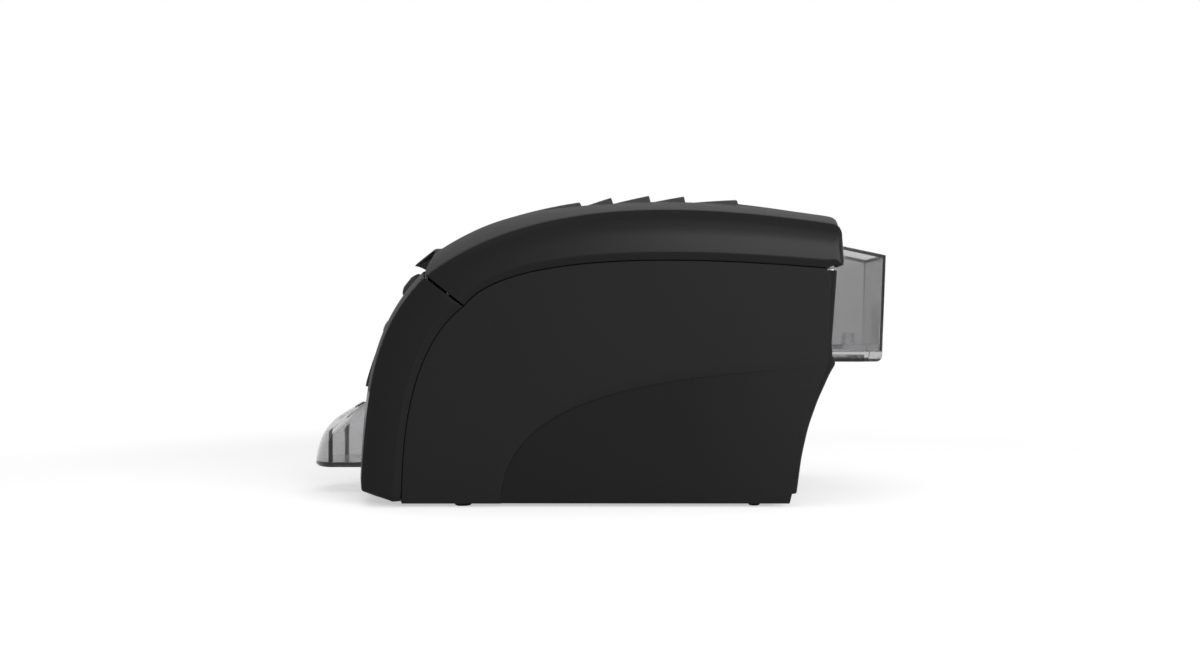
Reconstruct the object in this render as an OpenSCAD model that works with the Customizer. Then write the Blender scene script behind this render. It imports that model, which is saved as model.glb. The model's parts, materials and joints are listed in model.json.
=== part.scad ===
// Desktop plastic-card printer with a hinged top cover.
// Millimetres. The front faces -Y, +Z is up, and the origin is at the middle of the
// whole machine's outline, at the level of the feet.

/* [Body] */
// Width across the black hoop of the cover and fascia
body_w = 220; // [214:1:232]
// Length of the side outline, from the front foot to the rear corner of the cover
body_l = 360; // [352:1:370]
// Height of the side rim above the table
body_h = 222; // [216:1:230]
// Wall of the moulded housings
wall = 2.5; // [2:0.1:3]
// Height of the crown of the front panel over its side edges
panel_crown = 14; // [10:0.5:16]
// Height of the crown of the top deck over its side edges
deck_crown = 21; // [18:0.5:23]
// Height of each louvre step on the deck
step_h = 4.9; // [3:0.1:5.5]
// Thickness of the deck and front panel skins
skin_t = 2.4; // [2:0.1:2.6]
// Gap round every panel
panel_gap = 0.6; // [0.4:0.1:0.9]
// Depth of the swept recess low on each side panel
swoosh_depth = 1.2; // [0.6:0.1:1.6]

/* [Cards] */
// Width of a card
card_w = 54; // [52:0.5:55]
// Length of a card
card_l = 85.6; // [80:0.2:87]
// Thickness of a card
card_t = 0.76; // [0.5:0.02:1]

/* [Hopper and stacker] */
// Height of the inside of the card hopper
hopper_h = 78; // [66:1:80]
// How far the hopper stands out behind the body
hopper_out = 48.3; // [40:0.1:52]
// Wall of the smoked hopper and stacker
clear_t = 2.2; // [1.8:0.1:2.6]

/* [Drive] */
// Radius of the platen roller
platen_r = 8; // [7.5:0.1:8.5]
// Radius of the driven transport rollers
drive_r = 7; // [6:0.1:7.5]
// Radius of the idle pinch rollers
pinch_r = 6; // [5:0.1:7]
// Radius of the roller shafts
shaft_r = 3; // [2.5:0.1:3.5]
// Thickness of the steel side plates
plate_t = 1.5; // [1.2:0.1:2]
// Gear module
gear_m = 0.8; // [0.8:0.05:1]
// Teeth on the platen gear
gear_z = 48; // [44:1:50]
// Teeth on the motor pinion
pinion_z = 16; // [14:1:18]
// Radius of a full roll of dye film
film_r = 19; // [15:0.5:20]

/* [Controls] */
// Travel of the cover release button
release_travel = 2.5; // [1.5:0.1:3]
// Travel of each control key
key_travel = 0.8; // [0.5:0.1:0.9]
// Radius of the control keys
key_r = 5.4; // [4.5:0.1:6.5]
// Radius of the front rubber feet
foot_r = 6.5; // [5:0.5:8]
// Radius of the rear rubber feet
rear_foot_r = 4.5; // [4:0.5:7]

/* [Hidden] */
$fn = 48;

// Positions scale with the outline; sizes of parts don't.
function fy(y) = y * body_l / 360;
function fz(z) = z * body_h / 222;
function at(p) = [fy(p[0]), fz(p[1])];
function curve(p) = [for (q = p) at(q)];

// Side outline, as pairs of Y and Z: the rim is the crease of the hoop, the seam its lower edge.
rim_front = curve([[-177, 13], [-172, 90], [-168, 133], [-128.5, 172.5]]);
rim_top = curve([[-128.5, 172.5], [-50, 234], [69, 228], [178, 212]]);
seam_front = curve([[-146, 5], [-145.3, 36], [-145, 116], [-99.4, 150.4]]);
seam_top = curve([[-99.4, 150.4], [-69.5, 192.3], [72, 188], [172, 179]]);

hoop_x = body_w / 2;
rim_x = hoop_x - 5.5;
// Gap left between a piece and its seat.
seat_gap = 0.3;
skin_x = rim_x - 1 - panel_gap;
side_x = hoop_x - 2.4;
base_z = fz(4.5);

// Cubic curves: point, unit tangent and outward normal at t.
function bz(p, t) = pow(1 - t, 3) * p[0] + 3 * pow(1 - t, 2) * t * p[1]
    + 3 * (1 - t) * t * t * p[2] + pow(t, 3) * p[3];
function tangent(p, t) = let (v = 3 * pow(1 - t, 2) * (p[1] - p[0])
    + 6 * (1 - t) * t * (p[2] - p[1]) + 3 * t * t * (p[3] - p[2])) v / norm(v);
function normal(p, t) = let (v = tangent(p, t)) [-v[1], v[0]];
function curve_points(p, n, a = 0, b = 1) = [for (i = [0:n]) bz(p, a + (b - a) * i / n)];
function lerp(a, b, t) = a + (b - a) * t;
function smooth(t) = let (c = max(0, min(1, t))) c * c * (3 - 2 * c);
// t at which a curve that runs towards +axis reaches the value v on that axis.
function t_at(p, v, axis = 0, a = 0, b = 1, n = 20) = n == 0 ? (a + b) / 2
    : let (m = (a + b) / 2) bz(p, m)[axis] < v ? t_at(p, v, axis, m, b, n - 1) : t_at(p, v, axis, a, m, n - 1);
// Share of the crown height that is reached at x.
function crown(x) = 1 - pow(min(1, abs(x) / rim_x), 2.4);

// A closed skin between an outer and an inner grid of points.
function quad(a, b, c, d) = [[a, b, c], [a, c, d]];
module skin(outer, inner) {
    m = len(outer);
    n = len(outer[0]);
    o = m * n;
    polyhedron(
        points = concat([for (r = outer) each r], [for (r = inner) each r]),
        faces = concat(
            [for (i = [0:m - 2], k = [0:n - 2]) each
                quad(i * n + k, i * n + k + 1, (i + 1) * n + k + 1, (i + 1) * n + k)],
            [for (i = [0:m - 2], k = [0:n - 2]) each
                quad(o + i * n + k, o + (i + 1) * n + k, o + (i + 1) * n + k + 1, o + i * n + k + 1)],
            [for (k = [0:n - 2]) each quad(k, o + k, o + k + 1, k + 1)],
            [for (k = [0:n - 2]) let (e = (m - 1) * n + k) each quad(e, e + 1, o + e + 1, o + e)],
            [for (i = [0:m - 2]) each quad(i * n, (i + 1) * n, o + (i + 1) * n, o + i * n)],
            [for (i = [0:m - 2]) let (e = i * n + n - 1) each quad(e, o + e, o + e + n, e + n)]
        )
    );
}
// Half a cross-section, from the seam to the middle, mirrored into a whole one.
function whole(half) = concat(half, [for (k = [len(half) - 2:-1:0]) [-half[k][0], half[k][1], half[k][2]]]);
function on(x, p) = [x, p[0], p[1]];

// Prism of a side outline, from x0 to x1.
module xprism(x0, x1, outline) {
    translate([x0, 0, 0]) rotate([90, 0, 90]) linear_extrude(x1 - x0) polygon(outline);
}
// Cylinder and tube along X.
module xcyl(x0, x1, r, p) {
    translate([x0, p[0], p[1]]) rotate([0, 90, 0]) cylinder(h = x1 - x0, r = r);
}
module xtube(x0, x1, r, bore, p) {
    difference() {
        xcyl(x0, x1, r, p);
        xcyl(x0 - 1, x1 + 1, bore, p);
    }
}
module block(a, b) {
    translate(a) cube(b - a);
}
// Rounded plate in the XY plane.
module round_rect(w, h, r) {
    for (s = [-1, 1]) {
        translate([s * (w / 2 - r), h / 2 - r]) circle(r);
        translate([s * (w / 2 - r), r - h / 2]) circle(r);
    }
    square([w - 2 * r, h], center = true);
    square([w, h - 2 * r], center = true);
}
// Children stand on a curve: +Z is its outward normal, +Y runs along it.
module on_curve(p, t, h = 0) {
    c = bz(p, t) + h * normal(p, t);
    v = tangent(p, t);
    translate([0, c[0], c[1]]) rotate([atan2(v[1], v[0]), 0, 0]) children();
}
module both_sides() {
    children();
    mirror([1, 0, 0]) children();
}

// ---- Hoop sections ----
// A station is [rim point, outward normal, seam point, crown height, depth of the skin rebate].
bevel = 5;
function hoop_outer(s) = let (c = s[0], n = s[1], e = s[2], h = s[3], d = s[4],
        v = (c - e) / norm(c - e), q = e + v * bevel) whole([
    on(side_x, e),
    on(hoop_x, q),
    on(hoop_x - 1, lerp(q, c, 0.5)),
    on(hoop_x - 2.8, lerp(q, c, 0.8)),
    on(rim_x, c),
    on(rim_x - 0.9, c + n * (d > 0 ? 0 : h * crown(rim_x - 0.9))),
    on(rim_x - 1, c + n * (h * crown(rim_x - 1) - d)),
    on(rim_x * 0.88, c + n * (h * crown(rim_x * 0.88) - d)),
    on(rim_x * 0.7, c + n * (h * crown(rim_x * 0.7) - d)),
    on(rim_x * 0.4, c + n * (h * crown(rim_x * 0.4) - d)),
    on(0, c + n * (h - d))
]);
function hoop_inner(s) = let (c = s[0], n = s[1], e = s[2], h = s[3], d = s[4],
        v = (c - e) / norm(c - e), q = e + v * bevel) whole([
    on(side_x - wall, e),
    on(hoop_x - wall, q + v),
    on(hoop_x - 1 - wall, lerp(q, c, 0.5)),
    on(hoop_x - 2.8 - wall, lerp(q, c, 0.78)),
    on(rim_x - wall, c - n * (1.6 + d * 0.4) - v * 0.4),
    on(rim_x - 1 - wall, c - n * (wall * 0.8 + d)),
    on(rim_x - 2.4 - wall, c + n * (h * crown(rim_x - 2.4 - wall) - d - wall)),
    on(rim_x * 0.88, c + n * (h * crown(rim_x * 0.88) - d - wall)),
    on(rim_x * 0.7, c + n * (h * crown(rim_x * 0.7) - d - wall)),
    on(rim_x * 0.4, c + n * (h * crown(rim_x * 0.4) - d - wall)),
    on(0, c + n * (h - d - wall))
]);
module hoop(stations) {
    skin([for (s = stations) hoop_outer(s)], [for (s = stations) hoop_inner(s)]);
}
rebate = skin_t + 0.1;

// ---- Cover ----
deck_base = 13.5;
shell_crown = deck_base - 3;
lid_gap_t = 0.004;
lid_corner = [[182, 210.2], [184, 206], [184.9, 193], [185.7, 181.5]];
lid_corner_normal = [[0.6, 0.8], [0.97, 0.24], [0.99, 0.12], [0.99, 0.12]];
lid_corner_seam = [[174, 179.6], [175, 179.9], [176, 180.2], [177, 180.6]];
lid_stations = concat(
    [for (i = [0:15]) let (t = lerp(lid_gap_t, 1, i / 15))
        [bz(rim_top, t), normal(rim_top, t), bz(seam_top, t), shell_crown, rebate]],
    [for (i = [0:3]) [at(lid_corner[i]), lid_corner_normal[i], at(lid_corner_seam[i]),
        [9, 6, 5, 5][i], [1.2, 0, 0, 0][i]]]
);
hinge_at = at([184, 178]);
hinge_r = 3.4;
hinge_pin_r = 1.6;
arm_x = [49, 55];
ear_x = [55.3, 61.2];
notch_x = 42;

module lid_shell() {
    color("#232325") difference() {
        hoop(lid_stations);
        // opening round the card hopper, and clearance for the hinge ears
        block([-notch_x, fy(176), fz(170)], [notch_x, fy(200), fz(217)]);
        both_sides() block([notch_x - 1, fy(170), fz(170)], [ear_x[1] + 2, fy(200), fz(187)]);
    }
}

// Louvre steps: where each one ends, as Y of the rim below it.
louvre_ends = [-12, 12, 41, 68, 109];
louvre_peaks = [19.4, 20.9, 21, 20.5, 20.2];
louvre_drop = 2;
louvre_x = 57;
// Height of the crown in the middle band and on the flanks, at Y of the rim.
deck_end = [16.2, 14.2];
// Extra height of the pull tab, which runs out behind it
tab_h = 3;
function louvre_start(i) = i == 5 ? deck_end[0] : louvre_peaks[i] - step_h - 1.5;
function louvre_rise(y, i) = i == 0
    ? lerp(deck_crown, louvre_peaks[0], smooth((y - fy(-120)) / fy(90)))
        + tab_h * (1 - smooth((y - rim_top[0][0]) / fy(12)))
    : lerp(louvre_start(i), louvre_peaks[i],
        (y - fy(louvre_ends[i - 1]) - louvre_drop) / (fy(louvre_ends[i] - louvre_ends[i - 1]) - louvre_drop));
function deck_middle(y, i = 0) = i == 5 ? lerp(deck_end[0], deck_end[1], (y - fy(111)) / fy(70))
    : y <= fy(louvre_ends[i]) ? louvre_rise(y, i)
    : y < fy(louvre_ends[i]) + louvre_drop
        ? lerp(louvre_peaks[i], louvre_start(i + 1), (y - fy(louvre_ends[i])) / louvre_drop)
        : deck_middle(y, i + 1);
function deck_flank(y) = lerp(deck_crown + 1, deck_base + 1.5, smooth((y - fy(-90)) / fy(110)));
deck_ys = concat(
    [for (y = [-112, -96, -80, -62, -44, -27]) fy(y)],
    [for (i = [0:4]) each [fy(louvre_ends[i]), fy(louvre_ends[i]) + louvre_drop]],
    [for (y = [132, 155]) fy(y)]
);
deck_xs = [skin_x, 96, 86, 74, 64, louvre_x + 1.5, louvre_x - 0.5, 45, 34, 26, 13, 0];
// How far the front edge stands back from the split line at x: finger scoops beside a pull tab.
function front_edge(x) = x > 45 ? 13.6 * smooth((rim_x - x) / 46) : lerp(-8, 13.6, smooth((x - 26) / 12));
function deck_height(x, y) = crown(x) * (x > louvre_x ? deck_flank(y) : deck_middle(y));
function deck_point(x, t, back, drop) = let (
    n = normal(rim_top, t),
    c = bz(rim_top, t) + tangent(rim_top, t) * back,
    h = deck_height(abs(x), bz(rim_top, t)[0])
) on(x, c + n * (h - drop));
function deck_row(t, back, drop) = whole([for (x = deck_xs) deck_point(x, t, back ? front_edge(x) : 0, drop)]);
deck_ts = [for (y = deck_ys) t_at(rim_top, y)];
// The rear edge runs past the end of the rim and turns down over the corner.
deck_tail = [[0.96, 0, 0], [1, 2, 0], [1, 8, 0.4], [1, 12, 4]];
deck_tail_under = [[0.96, 0, skin_t], [1, 2, skin_t], [1, 7, skin_t + 0.2], [1, 10, 5]];
// Plan of the rear edge, which bows out with the back of the shell.
deck_back = [for (x = [-104:13:104]) [x, fy(183.4) + 8 * crown(abs(x))]];
module lid_deck() {
    color("#4a4a4c") difference() {
        skin(
            concat([deck_row(0, true, 0)], [for (t = deck_ts) deck_row(t, false, 0)],
                [for (r = deck_tail) whole([for (x = deck_xs) deck_point(x, r[0], r[1], r[2])])]),
            concat([deck_row(0, true, skin_t * 0.6)], [for (t = deck_ts) deck_row(t, false, skin_t)],
                [for (r = deck_tail_under) whole([for (x = deck_xs) deck_point(x, r[0], r[1], r[2])])])
        );
        translate([0, 0, fz(190)]) linear_extrude(60)
            polygon(concat(deck_back, [[104, fy(200)], [-104, fy(200)]]));
    }
}

// Inner pan of the cover, which carries the print head.
liner_drop = 21;
liner_t = 2;
liner_x = 97;
liner_a = 0.05;
liner_b = 0.95;
liner_notch = [notch_x + 2, fy(138)];
function liner_ts(a, b) = [for (i = [0:14]) lerp(a, b, i / 14)];
function below_rim(ts, d) = [for (t = ts) bz(rim_top, t) - normal(rim_top, t) * d];
module lid_rib(x) {
    ts = liner_ts(liner_a + 0.03, liner_b - 0.02);
    top = seat_gap + rebate + wall - shell_crown * crown(abs(x) + 1);
    xprism(x - 1, x + 1, concat(below_rim(ts, top), backwards(below_rim(ts, liner_drop + 0.5))));
}
module lid_liner() {
    ts = liner_ts(liner_a, liner_b);
    color("#3a3b3e") union() {
        difference() {
            xprism(-liner_x, liner_x,
                concat(below_rim(ts, liner_drop), backwards(below_rim(ts, liner_drop + liner_t))));
            // clear of the card hopper
            block([-liner_notch[0], liner_notch[1], fz(150)], [liner_notch[0], fy(200), fz(230)]);
        }
        for (x = [-84, -46, 46, 84]) lid_rib(x);
        // striker for the latch, hung from the front edge
        root = [liner_a + 0.012];
        xprism(-8, 8, concat([striker_at, striker_at + [0, 2.4]], below_rim(root, liner_drop + 0.2),
            below_rim(root, liner_drop + liner_t - 0.2)));
    }
}

// ---- Front ----
panel_low_z = 86;
t_panel = t_at(rim_front, fz(panel_low_z), 1);
t_step = t_at(rim_front, fz(panel_low_z - 1), 1);
chin_crown = 12;
fascia_stations = concat(
    [[at([-153.5, 4.6]), [-1, 0], at([-147, 4.6]), chin_crown * 0.5, 0],
     [at([-166, 8.2]), [-0.96, -0.2], at([-146.6, 6.6]), chin_crown * 0.8, 0],
     [at([-176, 12]), [-0.97, -0.2], at([-146.2, 9]), chin_crown, 0]],
    [for (i = [0:6]) let (t = lerp(0.03, t_step, i / 6))
        [bz(rim_front, t), normal(rim_front, t), bz(seam_front, lerp(0.06, 1, t)),
            lerp(chin_crown, panel_crown, i / 6), 0]],
    [for (i = [0:9]) let (t = lerp(t_panel, 0.996, i / 9))
        [bz(rim_front, t), normal(rim_front, t), bz(seam_front, lerp(0.06, 1, t)), panel_crown, rebate]]
);
bay_x = 46;
bay_z = [fz(18.5), fz(83)];
t_button = t_at(rim_front, fz(159), 1);
t_display = t_at(rim_front, fz(131), 1);
key_x = [34, 50];
module front_holes() {
    // release button, display window and keys
    on_curve(rim_front, t_button, panel_crown) translate([0, 1, -20]) linear_extrude(40)
        round_rect(button_size[0] + 0.8, button_size[1] + 0.8, 6);
    on_curve(rim_front, t_display, panel_crown) translate([display_x, 0, -20]) linear_extrude(40)
        round_rect(display_size[0], display_size[1], 1.5);
    for (x = key_x) on_curve(rim_front, t_display, panel_crown) translate([x, 0, -20]) linear_extrude(40)
        circle(key_r + 0.4);
}
module front_fascia() {
    color("#202022") difference() {
        hoop(fascia_stations);
        block([-bay_x, fy(-215), bay_z[0]], [bay_x, fy(-140), bay_z[1]]);
        front_holes();
    }
}
lip_h = 2.6;
module front_panel() {
    // rows up the panel, and the share of the raised lip that each one has
    rows = [0, 0.03, 0.12, 0.22, 0.3, 0.36, 0.46, 0.56, 0.66, 0.75, 0.84, 0.92, 1];
    ts = [for (r = rows) lerp(t_panel, 0.992, r)];
    lip = [1, 1, 0.66, 0.3, 0.04, 0, 0, 0, 0, 0, 0, 0, 0];
    xs = [skin_x, 94, 80, 66, louvre_x + 1.5, louvre_x - 0.5, 40, 20, 0];
    color("#48484a") difference() {
        skin(
            [for (i = [0:12]) whole([for (x = xs) on(x, bz(rim_front, ts[i]) + normal(rim_front, ts[i])
                * (panel_crown * crown(x) + (x < louvre_x ? lip_h * lip[i] : 0)))])],
            [for (i = [0:12]) whole([for (x = xs) on(x, bz(rim_front, ts[i]) + normal(rim_front, ts[i])
                * (panel_crown * crown(x) - skin_t))])]
        );
        front_holes();
    }
}

// ---- Card path ----
path_tilt = 7.9;
function path_z(y) = fz(78) + (y - fy(-115)) * tan(path_tilt);
nip = 0.4;
run = 0.05;
platen_at = [0, path_z(0) - platen_r];
transport_at = [fy(110), path_z(fy(110)) - drive_r];
exit_at = [fy(-104), path_z(fy(-104)) - drive_r];
transport_pinch_at = [transport_at[0], path_z(transport_at[0]) + pinch_r + nip];
exit_pinch_at = [exit_at[0], path_z(exit_at[0]) + pinch_r + nip];
cleaning_at = [fy(129), path_z(fy(129)) + pinch_r + nip];
hopper_floor = fz(115);
feed_r = drive_r + 2;
feed_at = [fy(165), hopper_floor - feed_r - 0.2];
supply_at = at([62, 150]);
takeup_at = at([-55, 143]);

plate_x = 62;
plate_in = plate_x - plate_t / 2;
plate_out = plate_x + plate_t / 2;
bush_flange = 1.2;
sleeve_x = card_w / 2 + 0.3;
shafts = [platen_at, transport_at, exit_at, feed_at];
pinch_shaft_r = shaft_r - 0.5;
pinches = [transport_pinch_at, exit_pinch_at, cleaning_at];

// ---- Casing ----
side_g = panel_gap / 2;
// The side panels hang a little lower than the tray and hide the root of the feet.
side_foot = fz(2.8);
side_rear = curve([[175.5, 174], [172.6, 105], [167.3, 92.8], [159.2, 70.4], [152.6, 48], [148.1, 25.6],
    [146.9, 10.7], [144.2, 2.8]]);
function along(p, d, n) = [for (i = [0:n]) bz(p, i / n) + d * normal(p, i / n)];
function backwards(v) = [for (i = [len(v) - 1:-1:0]) v[i]];
// The swept edge low on each side: everything below it lies slightly deeper.
swoosh = curve([[-72, 8], [-66, 72], [8, 98], [169, 105]]);
screw_at = [at([-100, 30]), at([-60, 130]), at([120, 30]), at([120, 150])];
boss_r = 4;
screw_r = 1.5;

module side_panel() {
    front = along(seam_front, -side_g, 14);
    outline = concat([[front[0][0], side_foot]], front, along(seam_top, -side_g - 0.2, 18), side_rear);
    lip = concat(along(seam_top, -side_g - 0.2, 18), backwards(along(seam_top, -side_g - 2.4, 18)));
    difference() {
        union() {
            xprism(side_x - wall, side_x, outline);
            // flange under the edge of the cover, and a stiffener along the foot
            xprism(side_x - wall - 5, side_x - wall, lip);
            block([side_x - wall - 3, fy(-120), base_z + 14], [side_x - wall, fy(120), base_z + 16]);
            for (p = screw_at) xcyl(plate_out + 0.1, side_x - wall, boss_r, p);
        }
        for (p = screw_at) xcyl(plate_out, side_x - wall - 1, screw_r, p);
        intersection() {
            xprism(side_x - 2, side_x + 1, concat(curve_points(swoosh, 16), [side_rear[7] - [0, 1], [fy(-72), side_foot - 1]]));
            translate([side_x, fy(172), 0]) rotate([0, 0, atan(swoosh_depth / fy(244))])
                block([0, fy(-300), 0], [4, fy(40), fz(150)]);
        }
    }
}
module side_panel_right() {
    color("#2b2b2d") side_panel();
}
module side_panel_left() {
    color("#2b2b2d") mirror([1, 0, 0]) side_panel();
}

// Chassis floor that the steel plates, board and feet are fixed to.
tray_x = side_x - wall - 0.3;
tray_y = [fy(-144), fy(143)];
tray_t = 2.5;
tray_wall = 12;
front_feet = [95, fy(-101)];
rear_feet = [95, fy(119.3)];
plate_foot = base_z + tray_t + 3;
board_z = base_z + 16;
board_y = [fy(-66), fy(140)];
board_posts = [for (x = [-50, 50], y = [board_y[0] + 8, board_y[1] - 8]) [x, y]];
module base_tray() {
    color("#1f1f21") difference() {
        union() {
            block([-tray_x, tray_y[0], base_z], [tray_x, tray_y[1], base_z + tray_t]);
            both_sides() block([tray_x - 2.4, tray_y[0], base_z], [tray_x, tray_y[1], base_z + tray_wall]);
            block([-tray_x, tray_y[1] - 2.4, base_z], [tray_x, tray_y[1], base_z + tray_wall]);
            // lips behind the fascia and the rear cover
            block([-98, fy(-149.5), base_z], [98, tray_y[0] + 1, base_z + tray_t]);
            block([-84, tray_y[1] - 1, base_z], [84, fy(149), base_z + tray_t]);
            // rails for the steel plates, posts for the board
            both_sides() block([plate_in - 4, fy(-108), base_z], [plate_out + 4, fy(140), plate_foot]);
            for (p = board_posts) translate([p[0], p[1], base_z]) cylinder(h = board_z - base_z, r = 3.5);
        }
        for (p = board_posts) translate([p[0], p[1], base_z + 5]) cylinder(h = 20, r = screw_r);
        // air slots
        for (i = [-4:4]) block([i * 9 - 2, fy(-30), base_z - 1], [i * 9 + 2, fy(40), base_z + tray_t + 1]);
    }
}
module foot(r, p) {
    translate([p[0], p[1], 0]) rotate_extrude()
        polygon([[0, 0], [r - 1, 0], [r, 1], [r - 0.5, base_z], [0, base_z]]);
}
module rubber_feet() {
    color("#151516") both_sides() {
        foot(foot_r, front_feet);
        foot(rear_foot_r, rear_feet);
    }
}
module case_screws() {
    color("#8a8c90") for (s = [0, 1]) mirror([s, 0, 0]) for (p = screw_at) {
        xcyl(plate_in - 2.4, plate_in, 3, p);
        xcyl(plate_in - 1, plate_out + 12, screw_r - run, p);
    }
}

// Rear cover: a lofted panel with round corners, bowed a little across its width.
rear_line = curve([[152.1, 9.5], [155.7, 36.6], [160.8, 59.3], [168, 79.5], [177.2, 99.8], [181.2, 106.6],
    [181, 110], [179.2, 113], [178.5, 121], [180, 141], [181.4, 160], [182.6, 177.4]]);
rear_half = [[tray_x, -8.5], [tray_x - 0.6, -5], [tray_x - 3.6, -1.9], [tray_x - 9, -0.4], [84, 0.2],
    [60, 1], [30, 1.8], [0, 2]];
function rear_row(p, inset) = whole([for (q = rear_half)
    on(q[0] * (1 - inset / tray_x), [p[0] + q[1] - (q[0] > tray_x - 1 ? 0 : inset), p[1]])]);
port_x = [-26, 44];
port_z = [board_z - 1, board_z + 24];
module rear_cover() {
    color("#262628") difference() {
        skin([for (p = backwards(rear_line)) rear_row(p, 0)], [for (p = backwards(rear_line)) rear_row(p, wall)]);
        block([-notch_x, fy(160), fz(103)], [notch_x, fy(200), fz(190)]);
        both_sides() block([notch_x - 1, fy(160), fz(171)], [ear_x[1] + 1.6, fy(200), fz(190)]);
        block([port_x[0] - 3, fy(140), port_z[0] - 3], [port_x[1] + 3, fy(170), port_z[1] + 3]);
    }
}

// ---- Steel frame ----
plate_outline = curve([[-112, 14], [-112, 118], [-96, 138], [-70, 152], [-10, 168], [60, 172], [171.5, 172],
    [171.5, 102], [164, 95], [146, 86], [138, 14]]);
module plate() {
    difference() {
        xprism(plate_in, plate_out, concat([[plate_outline[0][0], plate_foot]],
            [for (i = [1:9]) plate_outline[i]], [[plate_outline[10][0], plate_foot]]));
        for (p = shafts) xcyl(plate_in - 1, plate_out + 1, shaft_r + 2, p);
        for (p = pinches) xcyl(plate_in - 1, plate_out + 1, pinch_shaft_r + run, p);
        for (p = screw_at) xcyl(plate_in - 1, plate_out + 1, screw_r + 0.1, p);
        xcyl(plate_in - 1, plate_out + 1, motor_boss_r + 0.4, motor_at);
        // cable windows
        xprism(plate_in - 1, plate_out + 1, curve([[-60, 40], [-60, 66], [-44, 74], [-36, 40]]));
        xprism(plate_in - 1, plate_out + 1, curve([[40, 40], [40, 78], [88, 84], [98, 40]]));
    }
}
module plate_right() {
    color("#a9adb2") plate();
}
module plate_left() {
    color("#a9adb2") mirror([1, 0, 0]) plate();
}
tie_r = 4;
tie_at = [at([-96, 48]), at([118, 58]), at([30, 162]), at([-92, 122])];
bridge_y = fy(-112) - 0.1;
bridge_t = 1.5;
latch_at = at([-124, 150]);
striker_at = latch_at + [2, 9.6];
latch_pin_r = 1.5;
module cross_ties() {
    color("#b4b8bd") {
        for (p = tie_at) xcyl(-plate_in + 0.02, plate_in - 0.02, tie_r, p);
        difference() {
            union() {
                block([-plate_out, bridge_y - bridge_t, fz(98)], [plate_out, bridge_y, fz(140)]);
                both_sides() xprism(7, 8.5, [[bridge_y - 0.5, fz(128)], latch_at + [-4, -4], latch_at + [-4, 3],
                    latch_at + [3, 4], [bridge_y - 0.5, fz(140)]]);
            }
            xcyl(-20, 20, latch_pin_r, latch_at);
        }
        xcyl(-9.5, 9.5, latch_pin_r, latch_at);
    }
}
// Guide under the cards, with windows for the driven rollers.
guide_x = card_w / 2 + 3;
guide_y = [fy(-114), fy(142)];
module card_guide() {
    color("#303236") difference() {
        union() {
            xprism(-guide_x, guide_x, [for (q = [[0, -3], [1, -3], [1, -0.6], [0, -0.6]])
                [guide_y[q[0]], path_z(guide_y[q[0]]) + q[1]]]);
            both_sides() xprism(card_w / 2 + 0.6, guide_x, [for (q = [[0, -3], [1, -3], [1, 1.4], [0, 1.4]])
                [guide_y[q[0]], path_z(guide_y[q[0]]) + q[1]]]);
            // hangers out to the steel plates
            for (y = [fy(-70), fy(50)]) both_sides() block([guide_x - 1, y - 6, path_z(y) - 3],
                [plate_in - 0.05, y + 6, path_z(y) - 1]);
        }
        for (p = [platen_at, transport_at, exit_at])
            block([-guide_x - 1, p[0] - platen_r - 2, p[1] - 2], [guide_x + 1, p[0] + platen_r + 2, p[1] + 20]);
    }
}
module bush(p) {
    difference() {
        union() {
            xcyl(plate_in - bush_flange, plate_in, shaft_r + 3.5, p);
            xcyl(plate_in - 0.1, plate_out, shaft_r + 2, p);
        }
        xcyl(plate_in - 4, plate_out + 4, shaft_r + run, p);
    }
}
module shaft_bushes() {
    color("#b08d4a") for (s = [0, 1]) mirror([s, 0, 0]) for (p = shafts) bush(p);
}

// ---- Rollers and drive ----
pulley_x = [-79, -74];
gear_x = [-70, -66];
pulley_r = 6.5;
belt_t = 1.4;
belt_gap = 0.3;
module roller_shaft(p, left) {
    color("#c2c6ca") xcyl(left, plate_out + 3, shaft_r, p);
}
module pulley(p) {
    color("#d8d8d4") {
        xcyl(pulley_x[0], pulley_x[1] + 0.5, pulley_r, p);
        xcyl(pulley_x[1], pulley_x[1] + 1, pulley_r + 1.8, p);
    }
}
module sleeve(p, r, tint) {
    color(tint) xtube(-sleeve_x, sleeve_x, r, shaft_r, p);
}
module platen_shaft() {
    roller_shaft(platen_at, pulley_x[0] - 1);
    pulley(platen_at);
}
module platen_sleeve() {
    sleeve(platen_at, platen_r, "#242426");
}
module transport_shaft() {
    roller_shaft(transport_at, pulley_x[0] - 1);
    pulley(transport_at);
}
module transport_sleeve() {
    sleeve(transport_at, drive_r, "#3a5f8a");
}
module exit_shaft() {
    roller_shaft(exit_at, pulley_x[0] - 1);
    pulley(exit_at);
}
module exit_sleeve() {
    sleeve(exit_at, drive_r, "#3a5f8a");
}
module feed_shaft() {
    roller_shaft(feed_at, pulley_x[0] - 1);
    pulley(feed_at);
}
feed_sleeve_x = 16;
module feed_sleeve() {
    color("#2a2a2c") xtube(-feed_sleeve_x, feed_sleeve_x, feed_r, shaft_r, feed_at);
}
module idle_roller(p, tint) {
    color("#c2c6ca") xcyl(-plate_out - 1.5, plate_out + 1.5, pinch_shaft_r, p);
    color(tint) xcyl(-sleeve_x, sleeve_x, pinch_r, p);
    for (x = [-plate_in + 0.2, plate_in - 1.7]) color("#c2c6ca") xcyl(x, x + 1.5, pinch_shaft_r + 1.5, p);
}
module transport_pinch() {
    idle_roller(transport_pinch_at, "#2c2d30");
}
module exit_pinch() {
    idle_roller(exit_pinch_at, "#2c2d30");
}
module cleaning_roller() {
    idle_roller(cleaning_at, "#d9a23c");
}
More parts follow.
